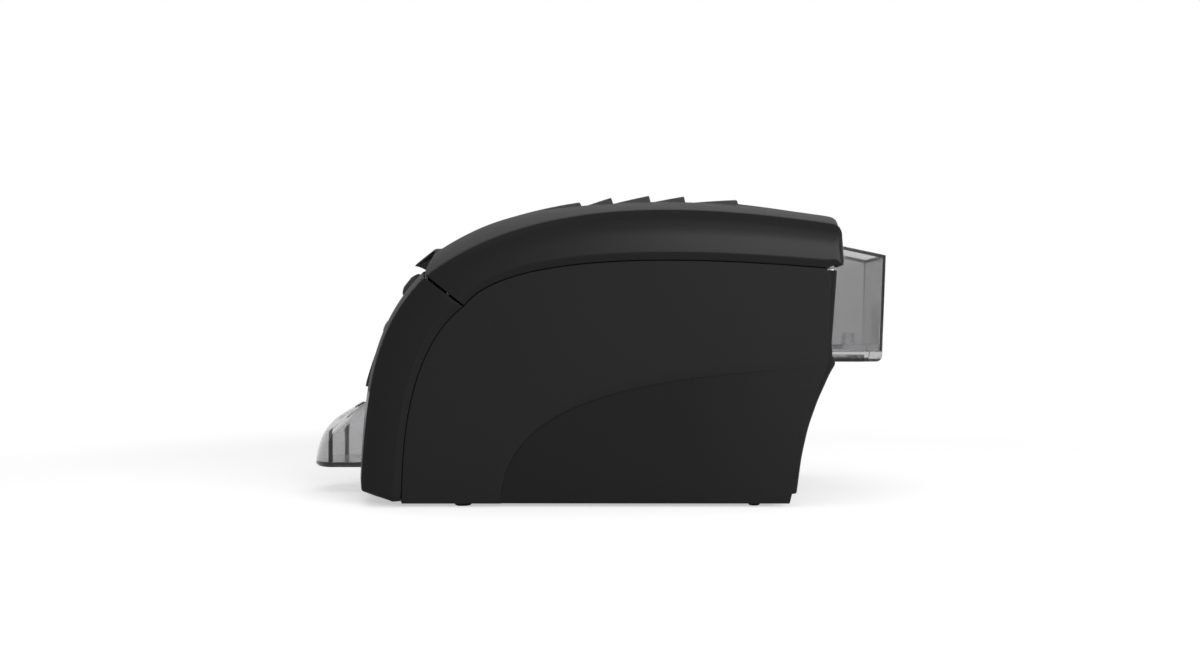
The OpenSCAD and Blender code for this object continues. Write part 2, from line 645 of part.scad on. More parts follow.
// Toothed wheel: a root disc with tapered teeth whose tips are the addendum circle.
function tooth(z, m) = let (r = z * m / 2) [[r - 1.4 * m, -0.95 * m], [r, -0.72 * m], [r + 0.9 * m, -0.32 * m],
    [r + 0.9 * m, 0.32 * m], [r, 0.72 * m], [r - 1.4 * m, 0.95 * m]];
module toothed(z, m) {
    circle(z * m / 2 - 1.2 * m);
    for (i = [0:z - 1]) rotate(i * 360 / z) polygon(tooth(z, m));
}
module gear(p, x, z, bore, turn) {
    translate([x[0], p[0], p[1]]) rotate([90, 0, 90]) difference() {
        linear_extrude(x[1] - x[0]) rotate(turn) toothed(z, gear_m);
        translate([0, 0, -1]) cylinder(h = 20, r = bore);
    }
}
centre_gap = 0.25;
motor_angle = 250;
motor_reach = gear_m * (gear_z + pinion_z) / 2 + centre_gap;
motor_at = platen_at + motor_reach * [cos(motor_angle), sin(motor_angle)];
motor_boss_r = 11;
motor_shaft_r = 2.5;
motor_half = 17;
motor_l = 32;
module platen_gear() {
    color("#e2e2de") difference() {
        gear(platen_at, gear_x, gear_z, shaft_r, motor_angle);
        for (a = [0:60:300]) xcyl(gear_x[0] - 1, gear_x[1] + 1, 3.4, platen_at + 10.5 * [cos(a), sin(a)]);
    }
}
module motor_pinion() {
    color("#c9a85a") {
        translate([gear_x[0], motor_at[0], motor_at[1]]) rotate([90, 0, 90])
            linear_extrude(gear_x[1] - gear_x[0])
                rotate(motor_angle + 180 + 180 / pinion_z) toothed(pinion_z, gear_m);
        xcyl(gear_x[1] - 0.1, -plate_in + 4, motor_shaft_r, motor_at);
    }
}
module drive_motor() {
    color("#2f3134") difference() {
        union() {
            translate([-plate_in, motor_at[0], motor_at[1]]) rotate([90, 0, 90])
                linear_extrude(motor_l) round_rect(2 * motor_half, 2 * motor_half, 4);
            xcyl(-plate_out - 0.6, -plate_in + 0.1, motor_boss_r, motor_at);
        }
        xcyl(-plate_out - 2, -plate_in + 4.3, motor_shaft_r + run, motor_at);
    }
}
module belt_loop(r) {
    hull() for (p = shafts) translate(p) circle(r);
}
module drive_belt() {
    color("#1a1a1b") translate([pulley_x[0], 0, 0]) rotate([90, 0, 90])
        linear_extrude(pulley_x[1] - pulley_x[0]) difference() {
            belt_loop(pulley_r + belt_gap + belt_t);
            belt_loop(pulley_r + belt_gap);
        }
}

// ---- Dye film ----
hub_r = 5;
hub_flange_r = 9.5;
spool_x = 33;
module spool(p, roll, tint) {
    difference() {
        union() {
            color("#e8e6e0") for (x = [-spool_x, spool_x - 2]) xcyl(x, x + 2, film_r + 1.5, p);
            color(tint) xcyl(-spool_x + 1, spool_x - 1, roll, p);
        }
        xcyl(-spool_x - 1, spool_x + 1, hub_r + run, p);
    }
}
module supply_spool() {
    spool(supply_at, film_r, "#c8a02c");
}
module takeup_spool() {
    spool(takeup_at, film_r * 0.62, "#43306b");
}
module spool_hubs() {
    color("#d9d9d5") for (s = [0, 1]) mirror([s, 0, 0]) for (p = [supply_at, takeup_at]) {
        xcyl(spool_x - 8, spool_x + 0.3, hub_r, p);
        xcyl(spool_x + 0.3, spool_x + 2.3, hub_flange_r, p);
        xcyl(spool_x + 2.3, plate_in - 0.02, hub_r, p);
    }
}

// ---- Print head, carried by the cover ----
head_y = [fy(0) - 14, fy(0) + 18];
head_x = 34;
pivot_at = [fy(0) + 13, platen_at[1] + platen_r + 31];
pivot_r = 2;
head_low = path_z(0) + nip + 0.4;
spring_x = 20;
spring_y = -5;
spring_z = [head_low + 23, head_low + 38];
// Underside of the pan of the cover at y.
function under_at(t) = bz(rim_top, t) - normal(rim_top, t) * (liner_drop + liner_t);
function liner_under(y, a = 0, b = 1, n = 20) = let (m = (a + b) / 2) n == 0 ? under_at(m)[1]
    : under_at(m)[0] < y ? liner_under(y, m, b, n - 1) : liner_under(y, a, m, n - 1);
module head_carrier() {
    top = liner_under(head_y[0]) - 1.2;
    color("#54575c") difference() {
        union() {
            // cheeks, spring plate and the stem up to the pan of the cover
            both_sides() xprism(head_x + 0.4, head_x + 2.4, [[head_y[0], spring_z[1]], [head_y[0], top],
                [head_y[1], top], [head_y[1], pivot_at[1] - 5], [head_y[1] - 10, pivot_at[1] - 5]]);
            block([-head_x - 0.5, head_y[0], spring_z[1]], [head_x + 0.5, head_y[0] + 17, spring_z[1] + 2]);
            block([-head_x - 0.5, head_y[0], top - 2], [head_x + 0.5, head_y[1], top]);
            xprism(-head_x - 2.4, head_x + 2.4, concat(
                [[head_y[0], top - 1], [head_y[1], top - 1]],
                backwards([for (i = [0:6]) let (y = lerp(head_y[0], head_y[1], i / 6))
                    [y, liner_under(y) - seat_gap]])));
        }
        xcyl(-50, 50, pivot_r + run, pivot_at);
    }
}
module head_pivot_pin() {
    color("#c2c6ca") xcyl(-head_x - 3.4, head_x + 3.4, pivot_r, pivot_at);
}
module head_bracket() {
    color("#b9bdc2") difference() {
        union() {
            for (x = [-head_x + 0.2, head_x - 3.2]) {
                xcyl(x, x + 3, 5, pivot_at);
                xprism(x, x + 3, [pivot_at + [-5, 0], pivot_at + [5, 0], [pivot_at[0] + 4, spring_z[0] - 3],
                    [head_y[0] + 2, spring_z[0] - 3], [head_y[0] + 2, spring_z[0]]]);
            }
            block([-head_x + 0.2, head_y[0] + 2, spring_z[0] - 3], [head_x - 0.2, pivot_at[0] + 4, spring_z[0]]);
        }
        xcyl(-50, 50, pivot_r + run, pivot_at);
    }
}
// Finned heatsink with the ceramic heater strip along its lower edge.
module print_head() {
    color("#d8d2c0") difference() {
        union() {
            block([-head_x + 2, head_y[0] + 3, head_low + 6], [head_x - 2, head_y[1] - 4, spring_z[0] - 3]);
            xprism(-head_x + 2, head_x - 2, [[head_y[0] + 3, head_low + 3], [head_y[0] + 11, head_low + 0.4],
                [-1, head_low], [3, head_low], [head_y[1] - 4, head_low + 4], [head_y[1] - 4, head_low + 6],
                [head_y[0] + 3, head_low + 6]]);
        }
        for (i = [-6:6]) block([i * 4.8 - 1.2, head_y[0] + 2, head_low + 9],
            [i * 4.8 + 1.2, head_y[1], spring_z[0] - 5]);
    }
}
// Coil spring: a wire swept up a helix, its ends closed and flattened.
function coil_point(r, pitch, turns, a) = [r * cos(a), r * sin(a),
    pitch * (a / 360 < 1 ? 0.3 * a / 360 : a / 360 > turns - 1 ? turns - 1.7 + 0.3 * (a / 360 - turns + 1)
        : 0.3 + (a / 360 - 1))];
module coil(r, wire, h, turns) {
    steps = 14;
    sides = 6;
    pitch = (h - 2 * wire) / (turns - 1.4);
    rings = [for (i = [0:turns * steps]) let (a = i * 360 / steps, c = coil_point(r, pitch, turns, a))
        [for (k = [0:sides - 1]) let (b = k * 360 / sides)
            [(r + wire * cos(b)) * cos(a), (r + wire * cos(b)) * sin(a), c[2] + wire * sin(b) + wire]]];
    n = len(rings);
    polyhedron(points = [for (q = rings) each q], faces = concat(
        [[for (k = [sides - 1:-1:0]) k]],
        [for (i = [0:n - 2], k = [0:sides - 1]) each quad(i * sides + k, i * sides + (k + 1) % sides,
            (i + 1) * sides + (k + 1) % sides, (i + 1) * sides + k)],
        [[for (k = [0:sides - 1]) (n - 1) * sides + k]]));
}
module head_springs() {
    color("#b9bdc2") both_sides() translate([spring_x, spring_y, spring_z[0] + 0.1])
        coil(4, 0.6, spring_z[1] - spring_z[0] - 0.4, 6);
}

// ---- Hinge ----
module hinge_arms() {
    reach = [for (i = [0:4]) lerp(fy(132), fy(166), i / 4)];
    color("#3a3b3e") both_sides() difference() {
        union() {
            xprism(arm_x[0], arm_x[1], concat(
                [for (y = reach) [y, liner_under(y) - seat_gap]],
                [hinge_at + [-6, 11], hinge_at + [hinge_r - 0.3, 3], hinge_at + [-hinge_r, -0.5],
                    hinge_at + [-13, 6], [reach[0], liner_under(reach[0]) - 5]]));
            xcyl(arm_x[0], arm_x[1], hinge_r, hinge_at);
        }
        xcyl(arm_x[0] - 1, arm_x[1] + 1, hinge_pin_r + run, hinge_at);
    }
}
module hinge_brackets() {
    color("#a9adb2") both_sides() difference() {
        union() {
            xprism(ear_x[0], plate_in - 0.02, concat(curve([[132, 150], [132, 168], [160, 171.5]]),
                [hinge_at + [-6, 0], hinge_at + [-1, -hinge_r], curve([[160, 160]])[0]]));
            xcyl(ear_x[0], plate_in - 0.02, hinge_r, hinge_at);
        }
        xcyl(ear_x[0] - 1, ear_x[1] + 1, hinge_pin_r + run, hinge_at);
    }
}
module hinge_pins() {
    color("#c2c6ca") both_sides() {
        xcyl(arm_x[0] - 1.5, ear_x[1] + 0.8, hinge_pin_r, hinge_at);
        xcyl(arm_x[0] - 2.5, arm_x[0] - 0.3, hinge_pin_r + 1, hinge_at);
    }
}

// ---- Controls ----
display_x = -14;
display_size = [56, 20];
function key_top(x) = panel_crown * crown(x) + 0.8;
function key_low(x) = panel_crown * crown(x + key_r + key_flange + 2) - rebate - wall - seat_gap - key_flange;
button_size = [45.2, 22.2];
button_r = 19;
button_top = panel_crown + 8.8;
stem_r = 3;
guide_floor = -3;
stem_low = guide_floor - release_travel - 0.7;
guide_sag = 1;
button_under = panel_crown - 6;
module at_button(z) {
    on_curve(rim_front, t_button) translate([0, 1, z]) children();
}
module release_button() {
    color("#4a4a4c") at_button(0) {
        intersection() {
            translate([0, 0, button_under]) linear_extrude(16) round_rect(button_size[0], button_size[1], 5.6);
            xcyl(-30, 30, button_r, [0, button_top - button_r]);
            translate([0, 30, button_top - 122]) rotate([90, 0, 0]) cylinder(h = 60, r = 122, $fn = 96);
        }
        translate([0, 0, stem_low]) cylinder(h = button_under - stem_low + 1, r = stem_r);
    }
}
module release_spring() {
    color("#b9bdc2") at_button(guide_floor + 2.1) coil(stem_r + 1.3, 0.5, button_under - guide_floor - 2.4, 5);
}
// Open box behind the panel that guides the button and seats its spring.
module button_guide() {
    top = panel_crown * crown(button_size[0] / 2 + 3) - rebate - wall - seat_gap - guide_sag;
    color("#2c2d30") at_button(guide_floor) difference() {
        linear_extrude(top - guide_floor) round_rect(button_size[0] + 5, button_size[1] + 5, 7);
        translate([0, 0, 2]) linear_extrude(30) round_rect(button_size[0] + 1.4, button_size[1] + 1.4, 6);
        translate([0, 0, -1]) cylinder(h = 9, r = stem_r + 0.2);
    }
}
module latch_lever() {
    color("#c9cbcf") difference() {
        union() {
            xcyl(-6.6, 6.6, 3.2, latch_at);
            // hook, and the arm that the button pushes
            xprism(-5, 5, [for (q = [[-3.2, 0], [-3.6, 14], [1.3, 15], [1.3, 13], [-0.4, 11.5], [1.5, 2]])
                latch_at + q]);
            xprism(-5, 5, [for (q = [[0, -3], [0, 2], [-9.5, 3.4], [-10.5, 1]]) latch_at + q]);
        }
        xcyl(-10, 10, latch_pin_r + run, latch_at);
    }
}
key_flange = 1.2;
panel_board = panel_crown - 12.6;
panel_board_t = 1.6;
module display_module() {
    color("#2c3a2f") on_curve(rim_front, t_display) translate([0, 0, panel_board]) {
        translate([5, 0, 0]) linear_extrude(panel_board_t) round_rect(106, 30, 1.5);
        translate([display_x, 0, 1.5]) linear_extrude(lens_low - panel_board - 1.5)
            round_rect(display_size[0] - 6, display_size[1] - 4, 1);
        for (x = key_x) cylinder_at(x, 1.5, key_low(x) - panel_board - 1.5 - key_travel - 0.15, 2);
    }
}
module cylinder_at(x, z, h, r) {
    translate([x, 0, z]) cylinder(h = h, r = r);
}
lens_low = panel_crown - 5.4;
module display_lens() {
    color("#101214") on_curve(rim_front, t_display) translate([display_x, 0, lens_low])
        linear_extrude(3.2) round_rect(display_size[0] - 0.6, display_size[1] - 0.6, 1.3);
}
module control_key(x) {
    color("#6a6c70") on_curve(rim_front, t_display) {
        cylinder_at(x, key_low(x), key_top(x) - key_low(x), key_r);
        cylinder_at(x, key_low(x), key_flange, key_r + key_flange);
    }
}
module control_keys_a() {
    control_key(key_x[0]);
}
module control_keys_b() {
    control_key(key_x[1]);
}

// ---- Electronics ----
module main_board() {
    color("#1f5a3a") difference() {
        block([-56, board_y[0], board_z], [56, board_y[1], board_z + 1.6]);
        for (p = board_posts) translate([p[0], p[1], board_z - 1]) cylinder(h = 4, r = screw_r + 0.1);
    }
}
module board_parts() {
    top = board_z + 1.62;
    color("#17181a") {
        for (x = [-34, -8, 18]) translate([x, fy(20), top]) linear_extrude(1.8) square([18, 18], center = true);
        for (x = [-40:16:40]) translate([x, fy(-44), top]) linear_extrude(7) square([12, 6], center = true);
    }
    color("#30343c") for (x = [-44, -28, -12]) translate([x, fy(78), top]) cylinder(h = 15, r = 5);
    color("#8d9094") translate([24, fy(72), top]) difference() {
        linear_extrude(14) square([26, 20], center = true);
        for (i = [-4:4]) translate([i * 2.8 - 0.7, -11, 3]) cube([1.4, 22, 12]);
    }
}
port_y = fy(146);
port_face = port_y + 2;
module rear_port_plate() {
    color("#3a3c40") difference() {
        block([port_x[0], port_y, port_z[0]], [port_x[1], port_face, port_z[1]]);
        for (p = ports) block([p[0] - p[1] / 2 - 0.2, port_y - 1, port_low - 0.2],
            [p[0] + p[1] / 2 + 0.2, port_face + 1, port_low + p[2] + 0.2]);
    }
}
// Rear sockets: middle in X, width and height.
port_low = board_z + 1.7;
ports = [[-12, 18, 18], [14, 12.4, 11.2], [32, 16, 13.6]];
module socket_body(p, back) {
    block([p[0] - p[1] / 2, port_y - back, port_low], [p[0] + p[1] / 2, port_face + 0.6, port_low + p[2]]);
}
module power_inlet() {
    mid = [ports[0][0], port_low + ports[0][2] / 2];
    color("#151617") {
        difference() {
            socket_body(ports[0], 18);
            translate([mid[0], port_face + 1, mid[1]]) rotate([90, 0, 0]) cylinder(h = 11, r = 3.6);
        }
        translate([mid[0], port_face - 1, mid[1]]) rotate([90, 0, 0]) cylinder(h = 10, r = 1.2);
    }
}
module data_ports() {
    usb = ports[1];
    net = ports[2];
    color("#c0c3c8") {
        difference() {
            socket_body(usb, 14);
            block([usb[0] - 5.2, port_face - 9, port_low + 1], [usb[0] + 5.2, port_face + 2, port_low + 10.2]);
        }
        block([usb[0] - 2.8, port_face - 9.5, port_low + 4], [usb[0] + 2.8, port_face - 1, port_low + 7.2]);
        difference() {
            socket_body(net, 14);
            block([net[0] - 6, port_face - 10, port_low + 2], [net[0] + 6, port_face + 2, port_low + 9.5]);
            block([net[0] - 3, port_face - 10, port_low + 8], [net[0] + 3, port_face + 2, port_low + 12.2]);
        }
    }
}

// ---- Hopper ----
hopper_w = card_w / 2 + 3.8;
hopper_in = [fy(187) + hopper_out - clear_t - card_l - 0.5, fy(187) + hopper_out];
hopper_top = hopper_floor + hopper_h + 8.4;
hopper_slope = 7.6;
hopper_low = hopper_floor - 8;
hopper_step = hopper_floor - 3;
// The rear face leans forward towards its rounded foot.
hopper_lean = 3;
hopper_foot_r = 5;
function hopper_back(z) = let (foot = hopper_low + hopper_foot_r, head = hopper_top - hopper_slope)
    hopper_in[1] - hopper_lean * (1 - (z - foot) / (head - foot));
well_gap = 0.4;
module hopper_body_outline() {
    r = hopper_foot_r;
    polygon(concat(
        [[hopper_in[0], hopper_step], [fy(177), hopper_step], [fy(180), hopper_low], [fy(226) - r, hopper_low]],
        [for (a = [-75:25:0]) [hopper_in[1] - hopper_lean - r, hopper_low + r] + r * [cos(a), sin(a)]],
        [[hopper_in[1], hopper_top - hopper_slope], [fy(199), hopper_top], [hopper_in[0], hopper_top]]));
}
module input_hopper() {
    outer = hopper_w + clear_t;
    color("#6e6e70") difference() {
        translate([-outer, 0, 0]) rotate([90, 0, 90]) linear_extrude(2 * outer) hopper_body_outline();
        // space for the cards, open at the front and top
        back = [for (z = [hopper_floor, hopper_top + 2]) [hopper_back(z) - clear_t, z]];
        xprism(-hopper_w, hopper_w, [[hopper_in[0] - 1, hopper_floor], each back, [hopper_in[0] - 1, hopper_top + 2]]);
        // hollow below the floor
        xprism(-hopper_w, hopper_w, [[fy(183), hopper_low - 1], [fy(218), hopper_low - 1],
            [fy(218), hopper_floor - clear_t], [fy(183), hopper_floor - clear_t]]);
        // slot that leaves the feed roller as the hopper is drawn out
        block([-feed_sleeve_x - 1.5, hopper_in[0] - 1, hopper_low - 1],
            [feed_sleeve_x + 1.5, feed_at[0] + feed_r + 2, hopper_floor + 1]);
    }
}
weight_t = 6;
module card_weight() {
    x = hopper_w - 0.5;
    y = [hopper_in[0] + 1, hopper_back(hopper_floor) - clear_t - 0.6];
    z = hopper_floor + 0.3;
    color("#4d5156") difference() {
        union() {
            block([-x, y[0], z], [x, y[1], z + weight_t]);
            block([-8, y[1] - 22, z + weight_t - 0.5], [8, y[1] - 14, z + weight_t + 9]);
        }
        block([-x + 6, y[0] + 8, z + 2], [x - 6, y[1] - 28, z + weight_t + 1]);
    }
}
well_in = hopper_w + clear_t + well_gap;
well_t = 2;
bezel_y = [fy(181), fy(187)];
bezel_top = hopper_top + 9;
bezel_low = hopper_low - well_gap - 3;
module hopper_well() {
    // the gate stands so far forward that a card fits between it and the foot of the leaning rear face
    front = hopper_in[0] - hopper_lean - 2;
    step_top = hopper_step - well_gap;
    color("#2f3033") difference() {
        union() {
            both_sides() {
                block([well_in, front, feed_at[1] - 9], [well_in + well_t, fy(171), hopper_top]);
                block([well_in, fy(170), bezel_low], [well_in + well_t, bezel_y[1], hopper_top]);
                // bezel columns and flanges out to the steel plates
                block([well_in, bezel_y[0], bezel_low], [notch_x - 0.5, bezel_y[1], bezel_top]);
                block([well_in + well_t - 0.1, front, fz(138)], [plate_in - 0.05, front + 12, fz(140.5)]);
                block([well_in - 8, front, step_top - 2.4], [well_in + 0.5, fy(175), step_top]);
            }
            block([-notch_x + 0.5, bezel_y[0], hopper_top + 1.2], [notch_x - 0.5, bezel_y[1], bezel_top]);
            block([-notch_x + 0.5, bezel_y[0], bezel_low], [notch_x - 0.5, bezel_y[1], hopper_low - well_gap]);
            // gate that holds back all but the lowest card
            block([-well_in - 1, front, hopper_floor + 1.6 * card_t], [well_in + 1, front + 2.4, hopper_top]);
        }
        xcyl(-60, 60, shaft_r + 1.5, feed_at);
    }
}

// ---- Stacker ----
tray_half = card_w / 2 + 4;
tray_rear = fy(-128);
tray_low = base_z + 16.4;
tray_floor = tray_low + 4;
nose_y = -body_l / 2 - 55.3;
wall_front = nose_y + 16.4;
nose_line = [[nose_y, tray_low + 1], [nose_y + 0.4, tray_low + 6.5], [nose_y + 1.9, tray_low + 14],
    [nose_y + 5.3, tray_low + 23.5], [nose_y + 9.1, tray_low + 30.3], [nose_y + 17.8, tray_low + 39.9],
    [nose_y + 30.5, tray_low + 47.7], [nose_y + 42, tray_low + 53.5]];
side_line = [[wall_front, tray_low + 1], [wall_front, tray_low + 6], [wall_front, tray_low + 13],
    [wall_front + 0.2, tray_low + 20], [wall_front + 1.6, tray_low + 26.6], [wall_front + 8, tray_low + 33.3],
    [wall_front + 16.2, tray_low + 41.3], [wall_front + 22.7, tray_low + 50.6]];
// Bowed front of the stacker: rows run from inside one side wall round the nose to the other.
function nose_reach(u) = pow(sin(90 * u), 1.15);
function nose_row(i, inset) = let (a = side_line[i], b = nose_line[i], e = [inset * 0.8, i == 0 ? 0 : -inset * 0.5],
        root = inset > 0 ? [tray_half - clear_t + 0.5, a + [2.2, -0.9]] : [tray_half - 0.5, a + [0.8, -0.4]])
    whole(concat([on(root[0], root[1])],
        [for (k = [1:6]) on((tray_half - inset) * cos(15 * k), lerp(a, b, nose_reach(k / 6)) + e)]));
function floor_front(inset) = [for (k = [-5:5]) [(tray_half - inset) * sin(15 * k),
    lerp(side_line[0][0], nose_line[0][0], nose_reach(1 - abs(k) / 6)) + inset]];
notch_r = 15;
notch_z = tray_low + 40;
module output_stacker() {
    color("#77797b") difference() {
        union() {
            both_sides() xprism(tray_half - clear_t, tray_half, concat(
                [[wall_front, tray_low], [tray_rear, tray_low], [tray_rear, fz(76)], [fy(-182), fz(77.5)]],
                backwards([for (i = [1:7]) side_line[i]])));
            translate([0, 0, tray_low]) linear_extrude(tray_floor - tray_low) polygon(concat(floor_front(1),
                [[tray_half - 1, tray_rear - 1], [1 - tray_half, tray_rear - 1]]));
            skin([for (i = [0:7]) nose_row(i, 0)], [for (i = [0:7]) nose_row(i, clear_t)]);
            block([-9, fy(-214), tray_low - 1.6], [9, fy(-211), tray_low + 0.5]);
            block([1 - tray_half, tray_rear - clear_t, tray_low + 1], [tray_half - 1, tray_rear - 0.5, tray_floor + 10]);
        }
        // finger notch
        translate([0, nose_y - 5, notch_z]) rotate([-90, 0, 0]) cylinder(h = 60, r = notch_r);
        block([-notch_r, nose_y - 5, notch_z], [notch_r, nose_y + 55, notch_z + 30]);
    }
}
bay_t = 2;
bay_y = [fy(-183), fy(-117)];
module stacker_bay() {
    x = bay_x - 0.4;
    z = [bay_z[0] + 0.3, bay_z[1] - 0.3];
    color("#1c1c1e") {
        both_sides() block([x - bay_t, bay_y[0], z[0]], [x, bay_y[1], z[1]]);
        block([-x, bay_y[0], z[0]], [x, bay_y[1], tray_low - 0.3]);
        block([-x, bay_y[0], z[1] - bay_t], [x, bay_y[1] - 18, z[1]]);
        block([-x, bay_y[1] - bay_t, z[0]], [x, bay_y[1], exit_at[1] - drive_r - 3]);
        // side guides of the tray and legs down to the floor of the chassis
        both_sides() block([tray_half + 0.4, fy(-170), tray_low - 0.4], [tray_half + 2.4, bay_y[1], tray_low + 9]);
        both_sides() block([x - bay_t, fy(-140), base_z + tray_t + 0.02], [x, bay_y[1], z[0] + 0.5]);
    }
}

base_tray();
side_panel_left();
side_panel_right();
front_fascia();
front_panel();
rear_cover();
rubber_feet();
case_screws();
stacker_bay();
hopper_well();
plate_left();
plate_right();
cross_ties();
card_guide();
main_board();
board_parts();
power_inlet();
data_ports();
rear_port_plate();
button_guide();
display_module();
display_lens();
hinge_brackets();
hinge_pins();
lid_shell();
lid_deck();
lid_liner();
hinge_arms();
head_carrier();
head_bracket();
print_head();
head_pivot_pin();
head_springs();
platen_shaft();
platen_sleeve();
platen_gear();
feed_shaft();
feed_sleeve();
transport_shaft();
transport_sleeve();
exit_shaft();
exit_sleeve();
drive_belt();
drive_motor();
motor_pinion();
cleaning_roller();
transport_pinch();
exit_pinch();
shaft_bushes();
supply_spool();
takeup_spool();
spool_hubs();
output_stacker();
input_hopper();
card_weight();
release_button();
release_spring();
latch_lever();
control_keys_a();
control_keys_b();
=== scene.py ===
import json
import math

import bmesh
import bpy
import numpy as np
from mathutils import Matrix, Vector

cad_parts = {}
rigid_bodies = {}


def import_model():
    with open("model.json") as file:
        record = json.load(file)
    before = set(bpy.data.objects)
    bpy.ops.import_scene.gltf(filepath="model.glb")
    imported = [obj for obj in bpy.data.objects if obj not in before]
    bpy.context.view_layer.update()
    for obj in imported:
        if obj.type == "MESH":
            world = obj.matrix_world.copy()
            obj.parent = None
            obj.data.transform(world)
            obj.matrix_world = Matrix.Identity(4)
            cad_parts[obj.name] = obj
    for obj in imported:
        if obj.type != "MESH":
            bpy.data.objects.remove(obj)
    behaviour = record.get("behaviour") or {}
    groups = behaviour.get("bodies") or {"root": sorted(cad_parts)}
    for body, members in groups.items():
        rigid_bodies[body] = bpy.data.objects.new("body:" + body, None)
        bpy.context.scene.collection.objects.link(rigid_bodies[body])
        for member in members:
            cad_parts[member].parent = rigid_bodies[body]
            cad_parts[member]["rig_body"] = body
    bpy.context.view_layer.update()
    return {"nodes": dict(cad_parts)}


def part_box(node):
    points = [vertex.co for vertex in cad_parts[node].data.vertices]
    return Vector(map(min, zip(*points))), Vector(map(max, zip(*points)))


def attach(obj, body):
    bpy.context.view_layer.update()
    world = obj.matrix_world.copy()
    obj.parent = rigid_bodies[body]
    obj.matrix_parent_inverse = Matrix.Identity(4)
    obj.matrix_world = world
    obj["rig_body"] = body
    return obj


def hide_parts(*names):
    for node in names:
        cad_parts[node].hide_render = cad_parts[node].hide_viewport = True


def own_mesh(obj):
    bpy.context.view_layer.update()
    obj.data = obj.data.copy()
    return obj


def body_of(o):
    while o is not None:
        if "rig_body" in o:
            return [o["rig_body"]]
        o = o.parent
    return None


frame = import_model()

# ---- Viewpoint ----
# The camera stands level with the middle of the printer, square to its right side, and takes in the whole
# length with plain space round it.
lens = bpy.data.cameras.new("side_camera")
lens.lens = 33.45
lens.sensor_width = 36
camera = bpy.data.objects.new("side_camera", lens)
camera.location = (0.940, 0.0026, 0.1288)
camera.rotation_euler = (math.radians(90), 0, math.radians(90))
bpy.context.scene.collection.objects.link(camera)
bpy.context.scene.camera = camera

# ---- Studio ----
# A white sweep with one broad soft light overhead and a long low one on the camera's side, towards the rear,
# that draws the gleam on the hoop. The sweep takes the shadow and is otherwise as white as the air behind it.
scene = bpy.context.scene
scene.view_settings.view_transform = "Standard"
overhead_watts, low_watts = 5.0, 21.0
air_light = 0.3
paper_grey, paper_lift, paper_reach = 0.8, 0.5, 40.0
fade_from, fade_to = 0.45, 0.75


def feed(tree, socket, value):
    """Links the socket to another one, or gives it a plain value."""
    if isinstance(value, bpy.types.NodeSocket):
        tree.links.new(value, socket)
    else:
        socket.default_value = value


def node_of(tree, kind, *values, operation=None, **named):
    """A shader node of that kind, its inputs fed in their order by values and by their names by named."""
    made = tree.nodes.new("ShaderNode" + kind)
    if operation:
        made.operation = operation
    for socket, value in zip(made.inputs, values):
        feed(tree, socket, value)
    for name, value in named.items():
        feed(tree, made.inputs[name.replace("_", " ")], value)
    return made


def maths(tree, operation, *values):
    """The output of a Math node on those values or sockets."""
    return node_of(tree, "Math", *values, operation=operation).outputs[0]


def seen_directly(tree):
    """1 for camera, glossy and transmission rays: the rays that show the background itself."""
    path = node_of(tree, "LightPath").outputs
    seen = maths(tree, "MAXIMUM", path["Is Camera Ray"], path["Is Glossy Ray"])
    return maths(tree, "MAXIMUM", seen, path["Is Transmission Ray"])


def white_light(tree, kind, strength):
    """White light of that strength, from a Background or an Emission node."""
    return node_of(tree, kind, Color=(1, 1, 1, 1), Strength=strength).outputs[0]


def blended(tree, share, first, second):
    """The first shader where share is 0 and the second where it is 1."""
    return node_of(tree, "MixShader", share, first, second).outputs[0]


world = bpy.data.worlds.new("studio_air")
scene.world = world
world.use_nodes = True
air = world.node_tree
air.nodes.clear()
dim, bright = [white_light(air, "Background", strength) for strength in (air_light, 1.0)]
node_of(air, "OutputWorld", Surface=blended(air, seen_directly(air), dim, bright))


def soft_light(name, place, aim, width, height, watts):
    """A rectangular lamp at place that faces the point aim."""
    lamp = bpy.data.lights.new(name, "AREA")
    lamp.shape = "RECTANGLE"
    lamp.size, lamp.size_y = width, height
    lamp.energy = watts
    holder = bpy.data.objects.new(name, lamp)
    holder.location = place
    away = np.subtract(place, aim)
    yaw = math.atan2(away[0], -away[1])
    holder.rotation_euler = (math.atan2(math.hypot(away[0], away[1]), away[2]), 0, yaw)
    scene.collection.objects.link(holder)


soft_light("overhead_softbox", (0.05, -0.15, 1.35), (0, 0, 0.1), 1.5, 1.5, overhead_watts)
soft_light("low_softbox", (1.35, 0.75, 0.5), (0, 0.05, 0.12), 1.5, 0.32, low_watts)

sweep_mesh = bpy.data.meshes.new("sweep")
corners = [(paper_reach * x, paper_reach * y, 0) for x, y in ((-1, -1), (1, -1), (1, 1), (-1, 1))]
sweep_mesh.from_pydata(corners, [], [(0, 1, 2, 3)])
sweep = bpy.data.objects.new("sweep", sweep_mesh)
scene.collection.objects.link(sweep)
paper = bpy.data.materials.new("white_sweep")
paper.use_nodes = True
tree = paper.node_tree
tree.nodes.clear()
direct = seen_directly(tree)
matt = node_of(tree, "BsdfDiffuse", Color=(paper_grey, paper_grey, paper_grey, 1)).outputs[0]
lift = blended(tree, direct, white_light(tree, "Emission", 0.0), white_light(tree, "Emission", paper_lift))
lit = node_of(tree, "AddShader", matt, lift).outputs[0]
# Past the lamps' reach the paper fades into the plain white of the air.
here = node_of(tree, "TexCoord").outputs["Object"]
distance = node_of(tree, "VectorMath", here, operation="LENGTH").outputs["Value"]
faded = node_of(tree, "MapRange", Value=distance, From_Min=fade_from, From_Max=fade_to)
faded.interpolation_type = "SMOOTHSTEP"
far = maths(tree, "MULTIPLY", direct, faded.outputs[0])
node_of(tree, "OutputMaterial", Surface=blended(tree, far, lit, white_light(tree, "Emission", 1.0)))
sweep_mesh.materials.append(paper)

